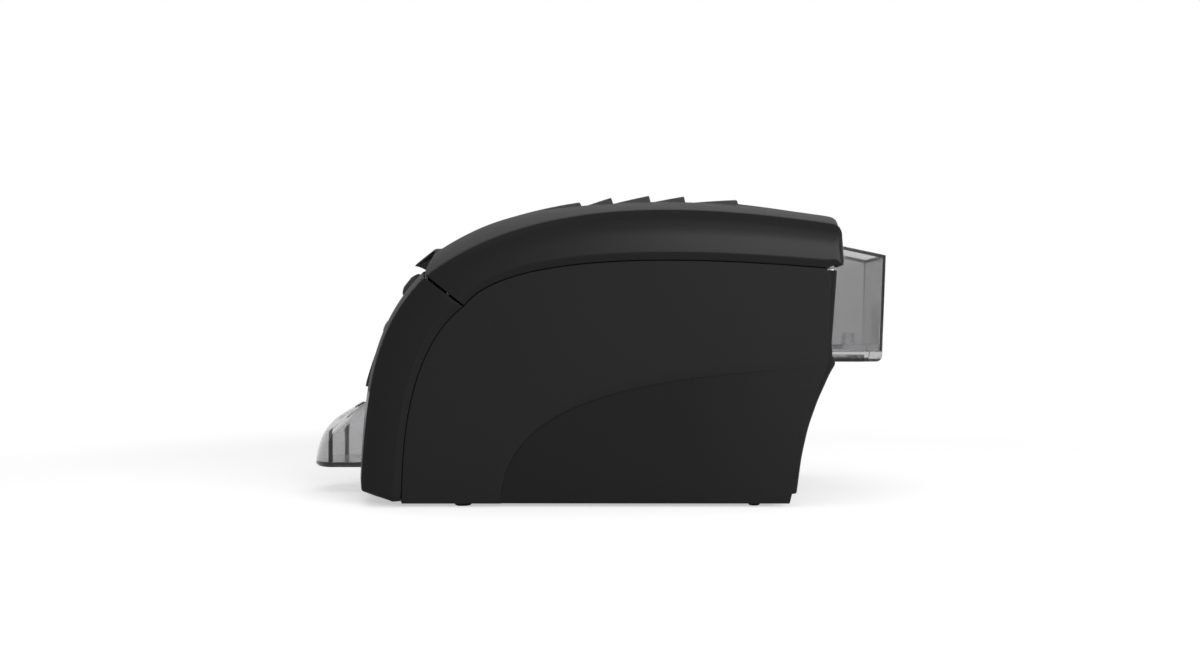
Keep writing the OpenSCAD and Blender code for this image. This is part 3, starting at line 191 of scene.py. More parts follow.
# ---- Chassis tray and rubber feet ----
# The tray is a black ABS moulding: a flat floor with low walls, rails for the steel plates and posts for
# the board. Four rubber feet are pressed into it. Its edges carry the small radius of the mould.
MM = 0.001
merge_dist = 0.000002


def effect_group(name, **inputs):
    """A shader group with those inputs, a colour where the default is a tuple, and outputs Colour, Roughness
    and Height; and the sockets that its inputs feed."""
    group = bpy.data.node_groups.new(name, "ShaderNodeTree")
    for label, value in inputs.items():
        kind = "NodeSocketColor" if isinstance(value, tuple) else "NodeSocketFloat"
        socket = group.interface.new_socket(label.replace("_", " "), in_out="INPUT", socket_type=kind)
        socket.default_value = value
    for label, kind in (("Colour", "Color"), ("Roughness", "Float"), ("Height", "Float")):
        group.interface.new_socket(label, in_out="OUTPUT", socket_type="NodeSocket" + kind)
    return group, group.nodes.new("NodeGroupInput").outputs


def tinted(tree, colour, amount):
    """Colour times amount, a number that is 1 where the colour stays as it is."""
    return node_of(tree, "VectorMath", colour, operation="SCALE", Scale=amount).outputs[0]


def effect_result(group, given, shade, grain, gain, height):
    """Ends the group: its Colour times shade, its Roughness plus gain times grain, and its Height."""
    made = group.nodes.new("NodeGroupOutput").inputs
    group.links.new(tinted(group, given["Colour"], shade), made["Colour"])
    group.links.new(maths(group, "MULTIPLY_ADD", grain, gain, given["Roughness"]), made["Roughness"])
    group.links.new(height, made["Height"])
    return group


def surface_place(tree, stretch=(1, 1, 1)):
    """Position on the object, stretched by a factor for each axis."""
    here = node_of(tree, "TexCoord").outputs["Object"]
    return node_of(tree, "Mapping", Vector=here, Scale=stretch).outputs[0]


def noise(tree, scale, detail=2.0, stretch=(1, 1, 1)):
    """Noise from 0 to 1 over the stretched position."""
    return node_of(tree, "TexNoise", Vector=surface_place(tree, stretch), Scale=scale,
                   Detail=detail).outputs["Fac"]


def swing(tree, value, amount, middle=1.0):
    """The middle plus amount times the value's distance from a half."""
    return maths(tree, "MULTIPLY_ADD", maths(tree, "SUBTRACT", value, 0.5), amount, middle)


def build_moulded_grain_and_painted_shade():
    """Spark-eroded mould texture: fine noise as height and roughness, slow noise as a faint change of colour.
    A field sunk below Face Width gets painted shade: its colour is scaled down to the given share over 0.5 mm
    of depth."""
    group, given = effect_group("moulded_grain_and_painted_shade", Colour=(0.02, 0.02, 0.02, 1), Roughness=0.5, Grain=2600.0,
                                Mottle=0.12, Sparkle=0.1, Face_Width=0.0, Sunk_Shade=1.0)
    fine = noise(group, given["Grain"], 3.0)
    speck = maths(group, "SUBTRACT", fine, 0.5)
    waver = swing(group, noise(group, 9.0, 3.0), given["Mottle"])
    light = maths(group, "MULTIPLY_ADD", speck, given["Mottle"], waver)
    across = node_of(group, "SeparateXYZ", surface_place(group)).outputs["X"]
    depth = maths(group, "SUBTRACT", given["Face Width"], maths(group, "ABSOLUTE", across))
    # Painted shade in the sunk field: the colour is scaled down with the depth below Face Width.
    sunk = node_of(group, "MapRange", Value=depth, From_Max=0.0005).outputs[0]
    darker = maths(group, "SUBTRACT", given["Sunk Shade"], 1.0)
    light = maths(group, "MULTIPLY", light, maths(group, "MULTIPLY_ADD", sunk, darker, 1.0))
    return effect_result(group, given, light, speck, given["Sparkle"], fine)


moulded_grain_and_painted_shade = build_moulded_grain_and_painted_shade()


def finish(name, effect, values, bump, **plain):
    """A Principled finish: colour, roughness and bump height from the effect group, plain numbers on the
    shader's own sockets. bump is the height of the texture in metres."""
    made = bpy.data.materials.new(name)
    made.use_nodes = True
    inside = made.node_tree
    shader = inside.nodes["Principled BSDF"]
    source = node_of(inside, "Group")
    source.node_tree = effect
    for label, value in values.items():
        source.inputs[label.replace("_", " ")].default_value = value
    relief = node_of(inside, "Bump", Strength=1.0, Distance=bump, Height=source.outputs["Height"])
    for label, value in {"Base_Color": source.outputs["Colour"], "Roughness": source.outputs["Roughness"],
                         "Normal": relief.outputs[0], **plain}.items():
        feed(inside, shader.inputs[label.replace("_", " ")], value)
    return made


def plastic(name, colour, roughness, grain=2600.0, bump=0.00002, gloss=0.28, **extra):
    """Moulded plastic of that linear colour, or of a grey that is 4 % stronger in blue."""
    colour = (colour, colour, colour * 1.04) if isinstance(colour, float) else colour
    values = {"Colour": (*colour, 1), "Roughness": roughness, "Grain": grain, **extra}
    return finish(name, moulded_grain_and_painted_shade, values, bump, Specular_IOR_Level=gloss)


def tell_frame(made, node):
    """Puts the piece in the scene, on the body of the CAD node that it stands for, and hides that node."""
    scene.collection.objects.link(made)
    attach(made, body_of(frame["nodes"][node])[0])
    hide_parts(node)


def dressed(node, material, edge=0.25, crease=28):
    """A merged copy of a CAD node with its hard edges broken by a bevel of that many millimetres."""
    mesh = frame["nodes"][node].data.copy()
    mesh.name = node + "_finished"
    work = bmesh.new()
    work.from_mesh(mesh)
    bmesh.ops.remove_doubles(work, verts=work.verts, dist=merge_dist)
    bmesh.ops.dissolve_limit(work, angle_limit=math.radians(1.0), verts=work.verts, edges=work.edges)
    work.to_mesh(mesh)
    work.free()
    mesh.materials.clear()
    mesh.materials.append(material)
    mesh.shade_smooth()
    mesh.set_sharp_from_angle(angle=math.radians(crease))
    made = bpy.data.objects.new(node + "_finished", mesh)
    tell_frame(made, node)
    if edge:
        cut = made.modifiers.new("mould_radius", "BEVEL")
        cut.width = edge * MM
        cut.segments = 2
        cut.limit_method = "ANGLE"
        cut.angle_limit = math.radians(crease)
        cut.use_clamp_overlap = True
        cut.harden_normals = True
    return made


def dress_all(*rows):
    """Dresses each row's nodes, named in one string, in its material with its edge."""
    for names, material, edge in rows:
        for node in names.split():
            dressed(node, material, edge)


inner_plastic = plastic("inner_black_abs", 0.017, 0.5, grain=1800.0)
foot_rubber = plastic("foot_rubber", 0.012, 0.8, grain=900.0, bump=0.00005, gloss=0.2)
dress_all(("base_tray", inner_plastic, 0.4), ("rubber_feet", foot_rubber, 0.4))

# ---- Steel frame ----
# Two zinc-plated steel side plates, laser cut and bent nowhere, are held apart by ground steel ties. The
# hinge ears and pins stand on their rear corners. The zinc shows the direction in which the sheet was rolled.


def build_drawn_metal():
    """Rolled or drawn metal: noise stretched along one axis as fine scratches, slow noise as cloudiness."""
    group, given = effect_group("drawn_metal", Colour=(0.5, 0.5, 0.5, 1), Roughness=0.35, Grain=900.0,
                                Cloud=0.25, Sparkle=0.22)
    fine = noise(group, given["Grain"], stretch=(1, 0.04, 1))
    cloud = swing(group, noise(group, 45.0, 4.0), given["Cloud"], 0.0)
    uneven = swing(group, fine, given["Sparkle"], cloud)
    return effect_result(group, given, maths(group, "ADD", cloud, 1.0), uneven, 1.0, fine)


drawn_metal = build_drawn_metal()


def metal(name, colour, roughness, grain=900.0):
    """Bare metal of that linear colour."""
    values = {"Colour": (*colour, 1), "Roughness": roughness, "Grain": grain}
    return finish(name, drawn_metal, values, 0.000006, Metallic=1.0)


zinc_steel = metal("zinc_plated_steel", (0.52, 0.53, 0.55), 0.38)
ground_steel = metal("ground_steel", (0.60, 0.61, 0.63), 0.2, grain=1600.0)
dress_all(("plate_left plate_right hinge_brackets latch_lever", zinc_steel, 0.2),
          ("cross_ties hinge_pins case_screws", ground_steel, 0.2))

# ---- Card path ----
# Black glass-filled guides lie under the cards. Rubber-covered steel rollers push the card through: black for
# the platen and feed, blue for transport, amber for the tacky cleaning roller. Their covers are ground round.


def build_ground_rubber():
    """Rubber ground on a lathe: close rings round the X axis as height, and a slow change of shade."""
    group, given = effect_group("ground_rubber", Colour=(0.03, 0.03, 0.03, 1), Roughness=0.6, Rings=2200.0,
                                Mottle=0.2)
    rings = noise(group, given["Rings"], 1.0, (1, 0.05, 0.05))
    drift = swing(group, noise(group, 60.0), given["Mottle"])
    return effect_result(group, given, drift, rings, 0.12, rings)


ground_rubber = build_ground_rubber()


def rubber(name, colour, roughness=0.55):
    """Ground roller rubber of that linear colour."""
    return finish(name, ground_rubber, {"Colour": (*colour, 1), "Roughness": roughness}, 0.00002,
                  Specular_IOR_Level=0.35)


black_rubber = rubber("roller_black_rubber", (0.022, 0.022, 0.024))
blue_rubber = rubber("roller_blue_rubber", (0.045, 0.115, 0.23))
amber_rubber = rubber("cleaning_amber_rubber", (0.55, 0.30, 0.05), 0.25)
bronze = metal("sintered_bronze", (0.45, 0.31, 0.14), 0.42, grain=2400.0)
dress_all(("card_guide stacker_bay hopper_well button_guide", inner_plastic, 0.3),
          ("shaft_bushes", bronze, 0.3),
          ("platen_shaft feed_shaft transport_shaft exit_shaft", ground_steel, 0.3),
          ("platen_sleeve feed_sleeve", black_rubber, 0.3),
          ("transport_sleeve exit_sleeve", blue_rubber, 0.3),
          ("transport_pinch exit_pinch", black_rubber, 0.3), ("cleaning_roller", amber_rubber, 0.3))

# ---- Drive ----
# A black stepper motor turns a brass pinion against the white acetal gear of the platen, and one ribbed
# rubber belt runs round the pulleys of all four shafts.
white_acetal = plastic("white_acetal", (0.70, 0.70, 0.67), 0.35, grain=1500.0, gloss=0.5)
belt_rubber = rubber("belt_black_rubber", (0.014, 0.014, 0.015), 0.7)
motor_paint = plastic("motor_black_paint", 0.03, 0.4, grain=1400.0, gloss=0.45)
turned_brass = metal("turned_brass", (0.62, 0.45, 0.17), 0.28)
dress_all(("drive_motor", motor_paint, 0.5), ("motor_pinion", turned_brass, 0.08),
          ("platen_gear", white_acetal, 0.08), ("drive_belt", belt_rubber, 0.15))

# ---- Print head, dye film and inner pan of the cover ----
# The cover carries the thermal head on a sprung bracket: an aluminium heatsink with a glazed ceramic strip
# along its lower edge. The dye film is wound on two white cores that turn on hubs.


def build_wound_film():
    """Film wound in a roll: bands of dye along the roll's axis that repeat, and fine rings of its edges."""
    group, given = effect_group("wound_film", Colour=(0.5, 0.35, 0.05, 1), Roughness=0.2, Bands=0.15)
    rings = noise(group, 1500.0, stretch=(0.05, 1, 1))
    band = swing(group, noise(group, 70.0, stretch=(1, 0.1, 0.1)), given["Bands"])
    return effect_result(group, given, band, rings, 0.15, rings)


wound_film = build_wound_film()
fresh_film, spent_film = [finish(name, wound_film, {"Colour": (*colour, 1)}, 0.00001, Coat_Weight=0.4)
                          for name, colour in (("fresh_dye_film", (0.50, 0.33, 0.05)),
                                               ("spent_dye_film", (0.065, 0.035, 0.12)))]
spring_wire = metal("spring_wire", (0.45, 0.46, 0.48), 0.3, grain=1800.0)
carrier_paint = plastic("carrier_grey_coat", (0.095, 0.10, 0.11), 0.42, gloss=0.45)
glazed_ceramic = plastic("glazed_ceramic", (0.58, 0.55, 0.48), 0.22, grain=700.0, gloss=0.6)
core_plastic = plastic("core_white_plastic", (0.66, 0.66, 0.63), 0.45, grain=1600.0, gloss=0.45)
dress_all(("supply_spool", fresh_film, 0.2), ("takeup_spool", spent_film, 0.2),
          ("spool_hubs", core_plastic, 0.3), ("head_carrier", carrier_paint, 0.2),
          ("hinge_arms", carrier_paint, 0.3), ("head_bracket", zinc_steel, 0.2),
          ("print_head", glazed_ceramic, 0.1), ("head_pivot_pin", ground_steel, 0.2),
          ("lid_liner", inner_plastic, 0.3))
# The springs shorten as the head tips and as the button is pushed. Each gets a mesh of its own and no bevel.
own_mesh(dressed("head_springs", spring_wire, 0))
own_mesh(dressed("release_spring", spring_wire, 0))

# ---- Electronics ----
# A green solder-masked board stands on the tray's posts with its chips, capacitors and heatsink. Its three
# sockets look out of a plate low on the rear cover. A small board behind the front carries the display.


def cells(tree, scale, gap, inside, line, offset=0.5):
    """A brick pattern of two greys: inside for the bricks and line for the gaps between them."""
    brick, mortar = (inside, inside, inside, 1), (line, line, line, 1)
    made = node_of(tree, "TexBrick", Vector=surface_place(tree), Scale=scale, Mortar_Size=gap, Color1=brick,
                   Color2=brick, Mortar=mortar)
    made.offset = offset
    return made.outputs["Color"]


def build_solder_mask():
    """Solder mask: copper tracks show through as lighter lines, the gaps of a brick pattern."""
    group, given = effect_group("solder_mask", Colour=(0.02, 0.12, 0.05, 1), Roughness=0.3, Tracks=0.7)
    tracks = cells(group, 260.0, 0.06, 0, 1)
    shade = maths(group, "MULTIPLY_ADD", tracks, given["Tracks"], 1.0)
    return effect_result(group, given, shade, tracks, -0.08, tracks)


green_board = finish("green_solder_mask", build_solder_mask(), {}, 0.00003, Coat_Weight=0.3)
chip_plastic = plastic("chip_black_epoxy", 0.018, 0.45, grain=3000.0)
socket_plastic = plastic("socket_black_nylon", 0.014, 0.5)
tinned_shield = metal("tinned_shield", (0.56, 0.57, 0.59), 0.3)
dress_all(("main_board display_module", green_board, 0.1), ("board_parts", chip_plastic, 0.2),
          ("power_inlet", socket_plastic, 0.3), ("data_ports", tinned_shield, 0.12),
          ("rear_port_plate", inner_plastic, 0.3))

# ---- Side panels ----
# Each side is one flat black ABS panel, 2.5 mm thick, screwed to long bosses on the steel frame. Its edge
# follows the hoop with a narrow gap, and a swept field low on it lies up to 1.2 mm deeper than the rest.
WALL = 2.5
hoop_x = 110.0
rim_x = 104.5
side_x = 107.6
panel_gap = 0.6
rim_front = np.array([[-177, 13], [-172, 90], [-168, 133], [-128.5, 172.5]])
rim_top = np.array([[-128.5, 172.5], [-50, 234], [69, 228], [178, 212]])
seam_front = np.array([[-146, 5], [-145.3, 36], [-145, 116], [-99.4, 150.4]])
seam_top = np.array([[-99.4, 150.4], [-69.5, 192.3], [72, 188], [172, 179]])


def unit(v):
    """Vectors of length 1 along v."""
    return v / np.maximum(np.linalg.norm(v, axis=-1, keepdims=True), 1e-12)


def bezier(p, t):
    """Cubic curve: the sum of its four points weighted by the Bernstein terms of t."""
    t = np.asarray(t, float)[..., None]
    return (1 - t) ** 3 * p[0] + 3 * (1 - t) ** 2 * t * p[1] + 3 * (1 - t) * t * t * p[2] + t ** 3 * p[3]


def heading(p, t):
    """Unit tangent of the cubic curve, from the weighted differences of its points."""
    t = np.asarray(t, float)[..., None]
    return unit((1 - t) ** 2 * (p[1] - p[0]) + 2 * (1 - t) * t * (p[2] - p[1]) + t * t * (p[3] - p[2]))


def outward(p, t):
    """Unit normal of the curve: its tangent turned a quarter turn to the left."""
    v = heading(p, t)
    return np.stack([-v[..., 1], v[..., 0]], -1)


def joined(*parts, axis=0):
    """The arrays one after another."""
    return np.concatenate(parts, axis)


def offset(p, t, distance):
    """Points of the curve moved by the distance along its outward normal."""
    return bezier(p, t) + np.asarray(distance)[..., None] * outward(p, t)


def spaced(chain, shares):
    """Points at those shares of the length of a chain of points."""
    run = joined([0], np.cumsum(np.linalg.norm(np.diff(chain, axis=0), axis=1)))
    return np.stack([np.interp(shares, run / run[-1], chain[:, i]) for i in range(chain.shape[1])], -1)


def lines(count, near):
    """0 to 1 in even steps, with closer lines within the share near of each end, where an edge is rounded."""
    first = near * np.array([0, 0.07, 0.22, 0.5])
    return joined(first, np.linspace(near, 1 - near, count), 1 - first[::-1])


def edge_distance(grid, axes):
    """Distance from each point to the nearest edge of the grid, along the grid lines of those axes."""
    found = []
    for axis in axes:
        step = np.linalg.norm(np.diff(grid, axis=axis), axis=-1)
        run = joined(np.zeros_like(np.take(step, [0], axis)), np.cumsum(step, axis), axis=axis)
        found += [run, np.take(run, [-1], axis) - run]
    return np.minimum.reduce(found)


def eased(outer, inner, radius, axes=(0, 1)):
    """Rounds the rim of a wall between two grids. Where a point is d from the edge, d under radius, both
    faces draw together by radius - sqrt(radius^2 - (radius - d)^2)."""
    d = np.minimum(edge_distance(outer, axes), radius)
    draw = radius - np.sqrt(np.maximum(radius ** 2 - (radius - d) ** 2, 0))
    across = unit(inner - outer) * draw[..., None]
    return outer + across, inner - across


def smooth(t):
    """Ease from 0 to 1 with a flat start and end: 3t^2 - 2t^3."""
    t = np.clip(t, 0, 1)
    return t * t * (3 - 2 * t)


def quads(rows, columns):
    """Faces between the neighbouring points of a grid."""
    i = (np.arange(rows - 1)[:, None] * columns + np.arange(columns - 1)).ravel()
    return np.stack([i, i + 1, i + columns + 1, i + columns], 1)


def wall_faces(rows, columns, first):
    """Faces of a closed wall between two grids: the outer one, the inner one turned over, and a strip that
    joins their borders."""
    skin = quads(rows, columns)
    last = (rows - 1) * columns
    ring = joined(np.arange(columns - 1), np.arange(columns - 1, last, columns),
                  np.arange(last + columns - 1, last, -1), np.arange(last, 0, -columns))
    onward = np.roll(ring, -1)
    strip = np.stack([onward, ring, ring + rows * columns, onward + rows * columns], 1)
    return joined(skin, skin[:, ::-1] + rows * columns, strip) + first


def tidy(mesh, crease):
    """Merges doubles, drops faces without area, turns faces outwards and shades smooth between creases."""
    work = bmesh.new()
    work.from_mesh(mesh)
    bmesh.ops.remove_doubles(work, verts=work.verts, dist=merge_dist)
    bmesh.ops.dissolve_degenerate(work, edges=work.edges, dist=merge_dist / 2)
    bmesh.ops.recalc_face_normals(work, faces=work.faces)
    work.to_mesh(mesh)
    work.free()
    mesh.shade_smooth()
    mesh.set_sharp_from_angle(angle=math.radians(crease))


def mesh_of(points, faces, crease):
    """The tidied mesh of those faces, with its points in millimetres."""
    mesh = bpy.data.meshes.new("moulding")
    mesh.from_pydata((points.reshape(-1, 3) * MM).tolist(), [], faces)
    tidy(mesh, crease)
    return mesh


def piece_of(node, mesh, material):
    """The moulding of that node: an object of the mesh in that material."""
    mesh.name = node + "_moulding"
    mesh.materials.append(material)
    return bpy.data.objects.new(mesh.name, mesh)


def solid(node, shells, material, crease=32):
    """A closed piece of one or more walls, each a pair of grids. Edges over crease degrees stay crisp."""
    points, faces = [], []
    for outer, inner in shells:
        faces += wall_faces(*outer.shape[:2], sum(map(len, points))).tolist()
        points += [outer.reshape(-1, 3), inner.reshape(-1, 3)]
    return piece_of(node, mesh_of(np.concatenate(points), faces, crease), material)


def raised(x, flat):
    """Points in space from X values and matching pairs of Y and Z."""
    return joined(np.broadcast_to(np.asarray(x, float)[..., None], (*flat.shape[:-1], 1)), flat, axis=-1)


def patch(first, last, left, right, u, v):
    """Coons patch: the blend of two facing pairs of border lines less the blend of their corners."""
    u, v = u[None, :, None], v[:, None, None]
    corners = (1 - v) * ((1 - u) * first[0] + u * first[-1]) + v * ((1 - u) * last[0] + u * last[-1])
    return (1 - v) * first[None] + v * last[None] + (1 - u) * left[:, None] + u * right[:, None] - corners


foot_z = 2.8
field_depth, field_ease = 1.2, 1.1
field_rear, field_length = 172, 244
outline_t = np.linspace(0, 1, 80)
border = joined(offset(seam_front, outline_t, -0.3), offset(seam_top, outline_t, -0.5),
                [[175.5, 174]])
border[0, 1] = foot_z
field_line = joined([[-72, foot_z]], bezier(np.array([[-72, 8], [-66, 72], [8, 98], [169, 105]]),
                                            np.linspace(0, 1, 80)))
field_line[-1] = (172.6, 105)
back_edge = np.array([[172.6, 105], [167.3, 92.8], [159.2, 70.4], [152.6, 48], [148.1, 25.6], [146.9, 10.7],
                      [144.2, foot_z]])
across = lines(150, 0.0015)
above = joined([0, 0.0008, 0.0022, 0.005], np.linspace(0.01, 1, 16))
below = joined([0, 0.003, 0.006, 0.01, 0.016, 0.03], np.linspace(0.1, 0.98, 10),
               [0.992, 0.996, 0.999, 1])
line_of_field = spaced(field_line, across)
upper = patch(spaced(border, across), line_of_field, spaced(np.array([border[0], field_line[0]]), above),
              spaced(np.array([border[-1], back_edge[0]]), above), across, above)
lower = patch(line_of_field, spaced(np.array([field_line[0], back_edge[-1]]), across),
              spaced(field_line[0] - [[0, 0], [0.001, 0]], below), spaced(back_edge, below), across, below)
side_flat = joined(upper, lower[1:])
below_line = joined(np.zeros((1, len(across))),
                    np.cumsum(np.linalg.norm(np.diff(lower, axis=0), axis=-1), 0))
forward = np.clip((field_rear - lower[..., 0]) / field_length, 0, 1)
sunk = field_depth * forward * smooth(below_line / field_ease)
side_out = raised(side_x - joined(np.zeros(upper.shape[:2]), sunk[1:]), side_flat)
side_in = raised(side_x - WALL, side_flat)

ledge_t = lines(60, 0.003)
ledge_across = lines(3, 0.1)
ledge_x = side_x - WALL - 5 * ledge_across


def seam_ledge(seam, t):
    """Lip inside a seam. It climbs inwards past the groove, so that no light comes through."""
    return [raised(ledge_x, offset(seam, t[:, None], d + 2.4 * ledge_across)) for d in (-0.5, -2.4)]


# Painted shade: wherever this material lies more than 0.5 mm inside side_x, as in the swept field, its colour
# is drawn at 76 %; the rear cover, wholly inside, takes it all over.
side_plastic = plastic("side_black_abs", 0.014, 0.55, gloss=0.05, Face_Width=side_x * MM, Sunk_Shade=0.76)
for side, turn in (("left", -1), ("right", 1)):
    flip = np.array([turn, 1, 1])
    shells = [eased(side_out, side_in, 0.6), eased(*seam_ledge(seam_top, ledge_t), 0.5),
              eased(*seam_ledge(seam_front, 1.02 * ledge_t - 0.02), 0.5)]
    node = "side_panel_" + side
    tell_frame(solid(node, [(a * flip, b * flip) for a, b in shells], side_plastic), node)

# ---- Front fascia ----
# The black hoop round the front is one moulding: a bevel off the side panel, a broad flank, a crease, and a
# sunk field that the grey front panel lies in. Below the panel it is a plain chin with the stacker's mouth.
PANEL_CROWN = 14.0
REBATE = 2.5
BEVEL = 5.0


def crown(x):
    """Share of the crown's height at X: 1 less the 2.4th power of the share of the half width."""
    return 1 - np.minimum(1, np.abs(x) / rim_x) ** 2.4


def reached(p, value, axis=0):
    """Parameter at which a curve that rises along the axis reaches the value, read off 2000 samples."""
    t = np.linspace(0, 1, 2001)
    return np.interp(value, bezier(p, t)[:, axis], t)


def bead(chain, radii, steps=5):
    """Rounds the corners of a chain of points: from r before a corner to r after it runs the quadratic curve
    that the corner pulls, with r at most 0.45 of a side. The chain runs along the last axis but one."""
    parts = [chain[..., :1, :]]
    share = np.linspace(0, 1, steps)[:, None]
    for i in range(1, chain.shape[-2] - 1):
        corner = chain[..., i, :]
        sides = [chain[..., k, :] - corner for k in (i - 1, i + 1)]
        reach = [np.minimum(radii[i], 0.45 * np.linalg.norm(side, axis=-1, keepdims=True)) for side in sides]
        before, after = [(corner + unit(side) * r)[..., None, :] for side, r in zip(sides, reach)]
        if radii[i]:
            parts.append((1 - share) ** 2 * before + 2 * share * (1 - share) * corner[..., None, :]
                         + share ** 2 * after)
        else:
            parts.append(corner[..., None, :])
    return joined(*parts, chain[..., -1:, :], axis=-2)


def mirrored(half, flip=-1):
    """A half line that ends in the middle, joined to its mirror image."""
    return joined(half, half[-2::-1] * flip)


def whole(half):
    """The rows of a half grid that end in the middle, each joined to its mirror image in X."""
    return mirrored(half.swapaxes(0, 1), [-1, 1, 1]).swapaxes(0, 1)


def stations_of(rim, seam, t, seam_t, height, drop):
    """Stations along the hoop, in columns: rim point, its normal, seam point, height of the crown there, and
    depth of the field that a grey panel lies in."""
    column = np.ones((len(t), 1))
    return joined(bezier(rim, t), outward(rim, t), bezier(seam, seam_t), column * height,
                  column * drop, axis=1)


def hoop(stations):
    """Outer and inner grids of the hoop through its stations."""
    rim, normal, seam, height, drop = np.split(stations, (2, 4, 6, 7), axis=1)
    up = unit(rim - seam)
    foot = seam + up * BEVEL
    lip = np.where(drop > 0, 0, height * crown(rim_x - 0.9))

    def half(corners, radii, thick):
        """Flank corners rounded, then the crowned field as far as the middle, thick below its face."""
        flank = bead(np.stack([raised(x, p) for x, p in corners], 1), radii)
        field_x = np.linspace(corners[-1][0], 0, 34)[1:]
        field = rim[:, None] + normal[:, None] * (height * crown(field_x) - drop - thick)[..., None]
        return whole(joined(flank, raised(field_x, field), axis=1))

    blend = [foot + (rim - foot) * share for share in (0.5, 0.78, 0.8)]
    outer = half([(side_x - WALL / 2, seam), (side_x, seam), (hoop_x, foot), (hoop_x - 1, blend[0]),
                  (hoop_x - 2.8, blend[2]), (rim_x, rim), (rim_x - 0.9, rim + normal * lip),
                  (rim_x - 1, rim + normal * (height * crown(rim_x - 1) - drop))],
                 (0, 0.5, 1.4, 4, 2.5, 0.7, 0.3, 0), 0)
    under_x = rim_x - 2.4 - WALL
    inner = half([(side_x - WALL / 2, seam), (side_x - WALL, seam), (hoop_x - WALL, foot + up),
                  (hoop_x - 1 - WALL, blend[0]), (hoop_x - 2.8 - WALL, blend[1]),
                  (rim_x - WALL, rim - normal * (1.6 + 0.4 * drop) - up * 0.4),
                  (rim_x - 1 - WALL, rim - normal * (0.8 * WALL + drop)),
                  (under_x, rim + normal * (height * crown(under_x) - drop - WALL))],
                 (0, 0.4, 0.5, 2, 1, 0.3, 0.3, 0), WALL)
    return outer, inner


def block(a, b):
    """Mesh of a plain block for cutting, from its lowest to its highest corner in millimetres."""
    work = bmesh.new()
    bmesh.ops.create_cube(work, size=1.0)
    bmesh.ops.scale(work, vec=np.subtract(b, a) * MM, verts=work.verts)
    bmesh.ops.translate(work, vec=np.add(a, b) / 2 * MM, verts=work.verts)
    mesh = bpy.data.meshes.new("cutting_block")
    work.to_mesh(mesh)
    work.free()
    return mesh


def both_sides(a, b):
    """The block and its mirror image in X."""
    return [block(a, b), block((-b[0], *a[1:]), (-a[0], *b[1:]))]


def carved(piece, tools, operation="DIFFERENCE", crease=32):
    """The piece less its cutting meshes, or joined with them, worked out exactly and kept as a plain mesh."""
    for tool in tools:
        cutter = bpy.data.objects.new("cutter", tool)
        scene.collection.objects.link(cutter)
        step = piece.modifiers.new("cut", "BOOLEAN")
        step.operation, step.object, step.solver = operation, cutter, "MANIFOLD"
    scene.collection.objects.link(piece)
    bpy.context.view_layer.update()
    mesh = bpy.data.meshes.new_from_object(piece.evaluated_get(bpy.context.evaluated_depsgraph_get()))
    scene.collection.objects.unlink(piece)
    for step in list(piece.modifiers):
        bpy.data.objects.remove(step.object)
        piece.modifiers.remove(step)
    tidy(mesh, crease)
    piece.data = mesh
    return piece


def on_front(t, x, along, height):
    """Points on the front rim's frame at t: X, distance along the curve, height over the rim."""
    return raised(x, offset(rim_front, t, height) + np.asarray(along)[..., None] * heading(rim_front, t))


def rounded_outline(width, length, radius, grow=0.0, count=13):
    """Closed outline of a rounded rectangle, grown outwards: four arcs joined by straight sides."""
    corner = radius + grow
    angle = np.linspace(0, math.pi / 2, count)[None, :] + np.arange(4)[:, None] * math.pi / 2
    middle = np.array([[1, 1], [-1, 1], [-1, -1], [1, -1]]) * [width / 2 - radius, length / 2 - radius]
    arcs = middle[:, None] + corner * np.stack([np.cos(angle), np.sin(angle)], -1)
    return joined(arcs.reshape(-1, 2), arcs[0, :1])


def closed_mesh(rows, crease=30):
    """Mesh of a tube of closed rings, capped at both ends."""
    count = rows.shape[1]
    last = (len(rows) - 1) * count
    ends = [list(range(count - 1))[::-1], list(range(last, last + count - 1))]
    return mesh_of(rows, quads(*rows.shape[:2]).tolist() + ends, crease)


def hole_tool(t, centre, outline, edge, lift=0.0, deep=24.0):
    """Mesh that cuts a hole square to the front, opening out over its last part to leave a rounded edge. Rows
    of the outline climb from under the skin; the flare is radius less the root of radius^2 less height^2."""
    flare = [(edge * (math.sin(a) - 1), edge * (1 - math.cos(a))) for a in np.linspace(0, math.pi / 2, 6)]
    levels = [(-deep, 0)] + flare + [(6, edge)]
    rows = []
    for level, grow in levels:
        ring = outline(grow) + centre
        skin = PANEL_CROWN * crown(ring[:, 0]) + lift
        rows.append(on_front(t, *ring.T, skin + level))
    return closed_mesh(np.stack(rows))


def round_hole(radius, grow=0.0):
    """Closed circle grown outwards."""
    angle = np.linspace(0, 2 * math.pi, 49)
    return (radius + grow) * np.stack([np.cos(angle), np.sin(angle)], -1)


t_panel = reached(rim_front, 86, 1)
t_button = reached(rim_front, 159, 1)
t_display = reached(rim_front, 131, 1)
button_middle = (0.0, 1.0)
# Width, length and corner radius of each hole.
button_hole, window_hole = (46, 23, 6), (56, 20, 1.5)
mouth = (-46, -215, 18.5), (46, -140, 83)
key_places = (34.0, 50.0)
key_r = 5.4
display_x = -14.0


def front_tools(edge, lift=0.0):
    """Cutting meshes for the button, the display window and the two keys."""
    tools = [hole_tool(t_button, button_middle, lambda grow: rounded_outline(*button_hole, grow), edge, lift),
             hole_tool(t_display, (display_x, 0), lambda grow: rounded_outline(*window_hole, grow), edge)]
    return tools + [hole_tool(t_display, (x, 0), lambda grow: round_hole(key_r + 0.4, grow), edge)
                    for x in key_places]


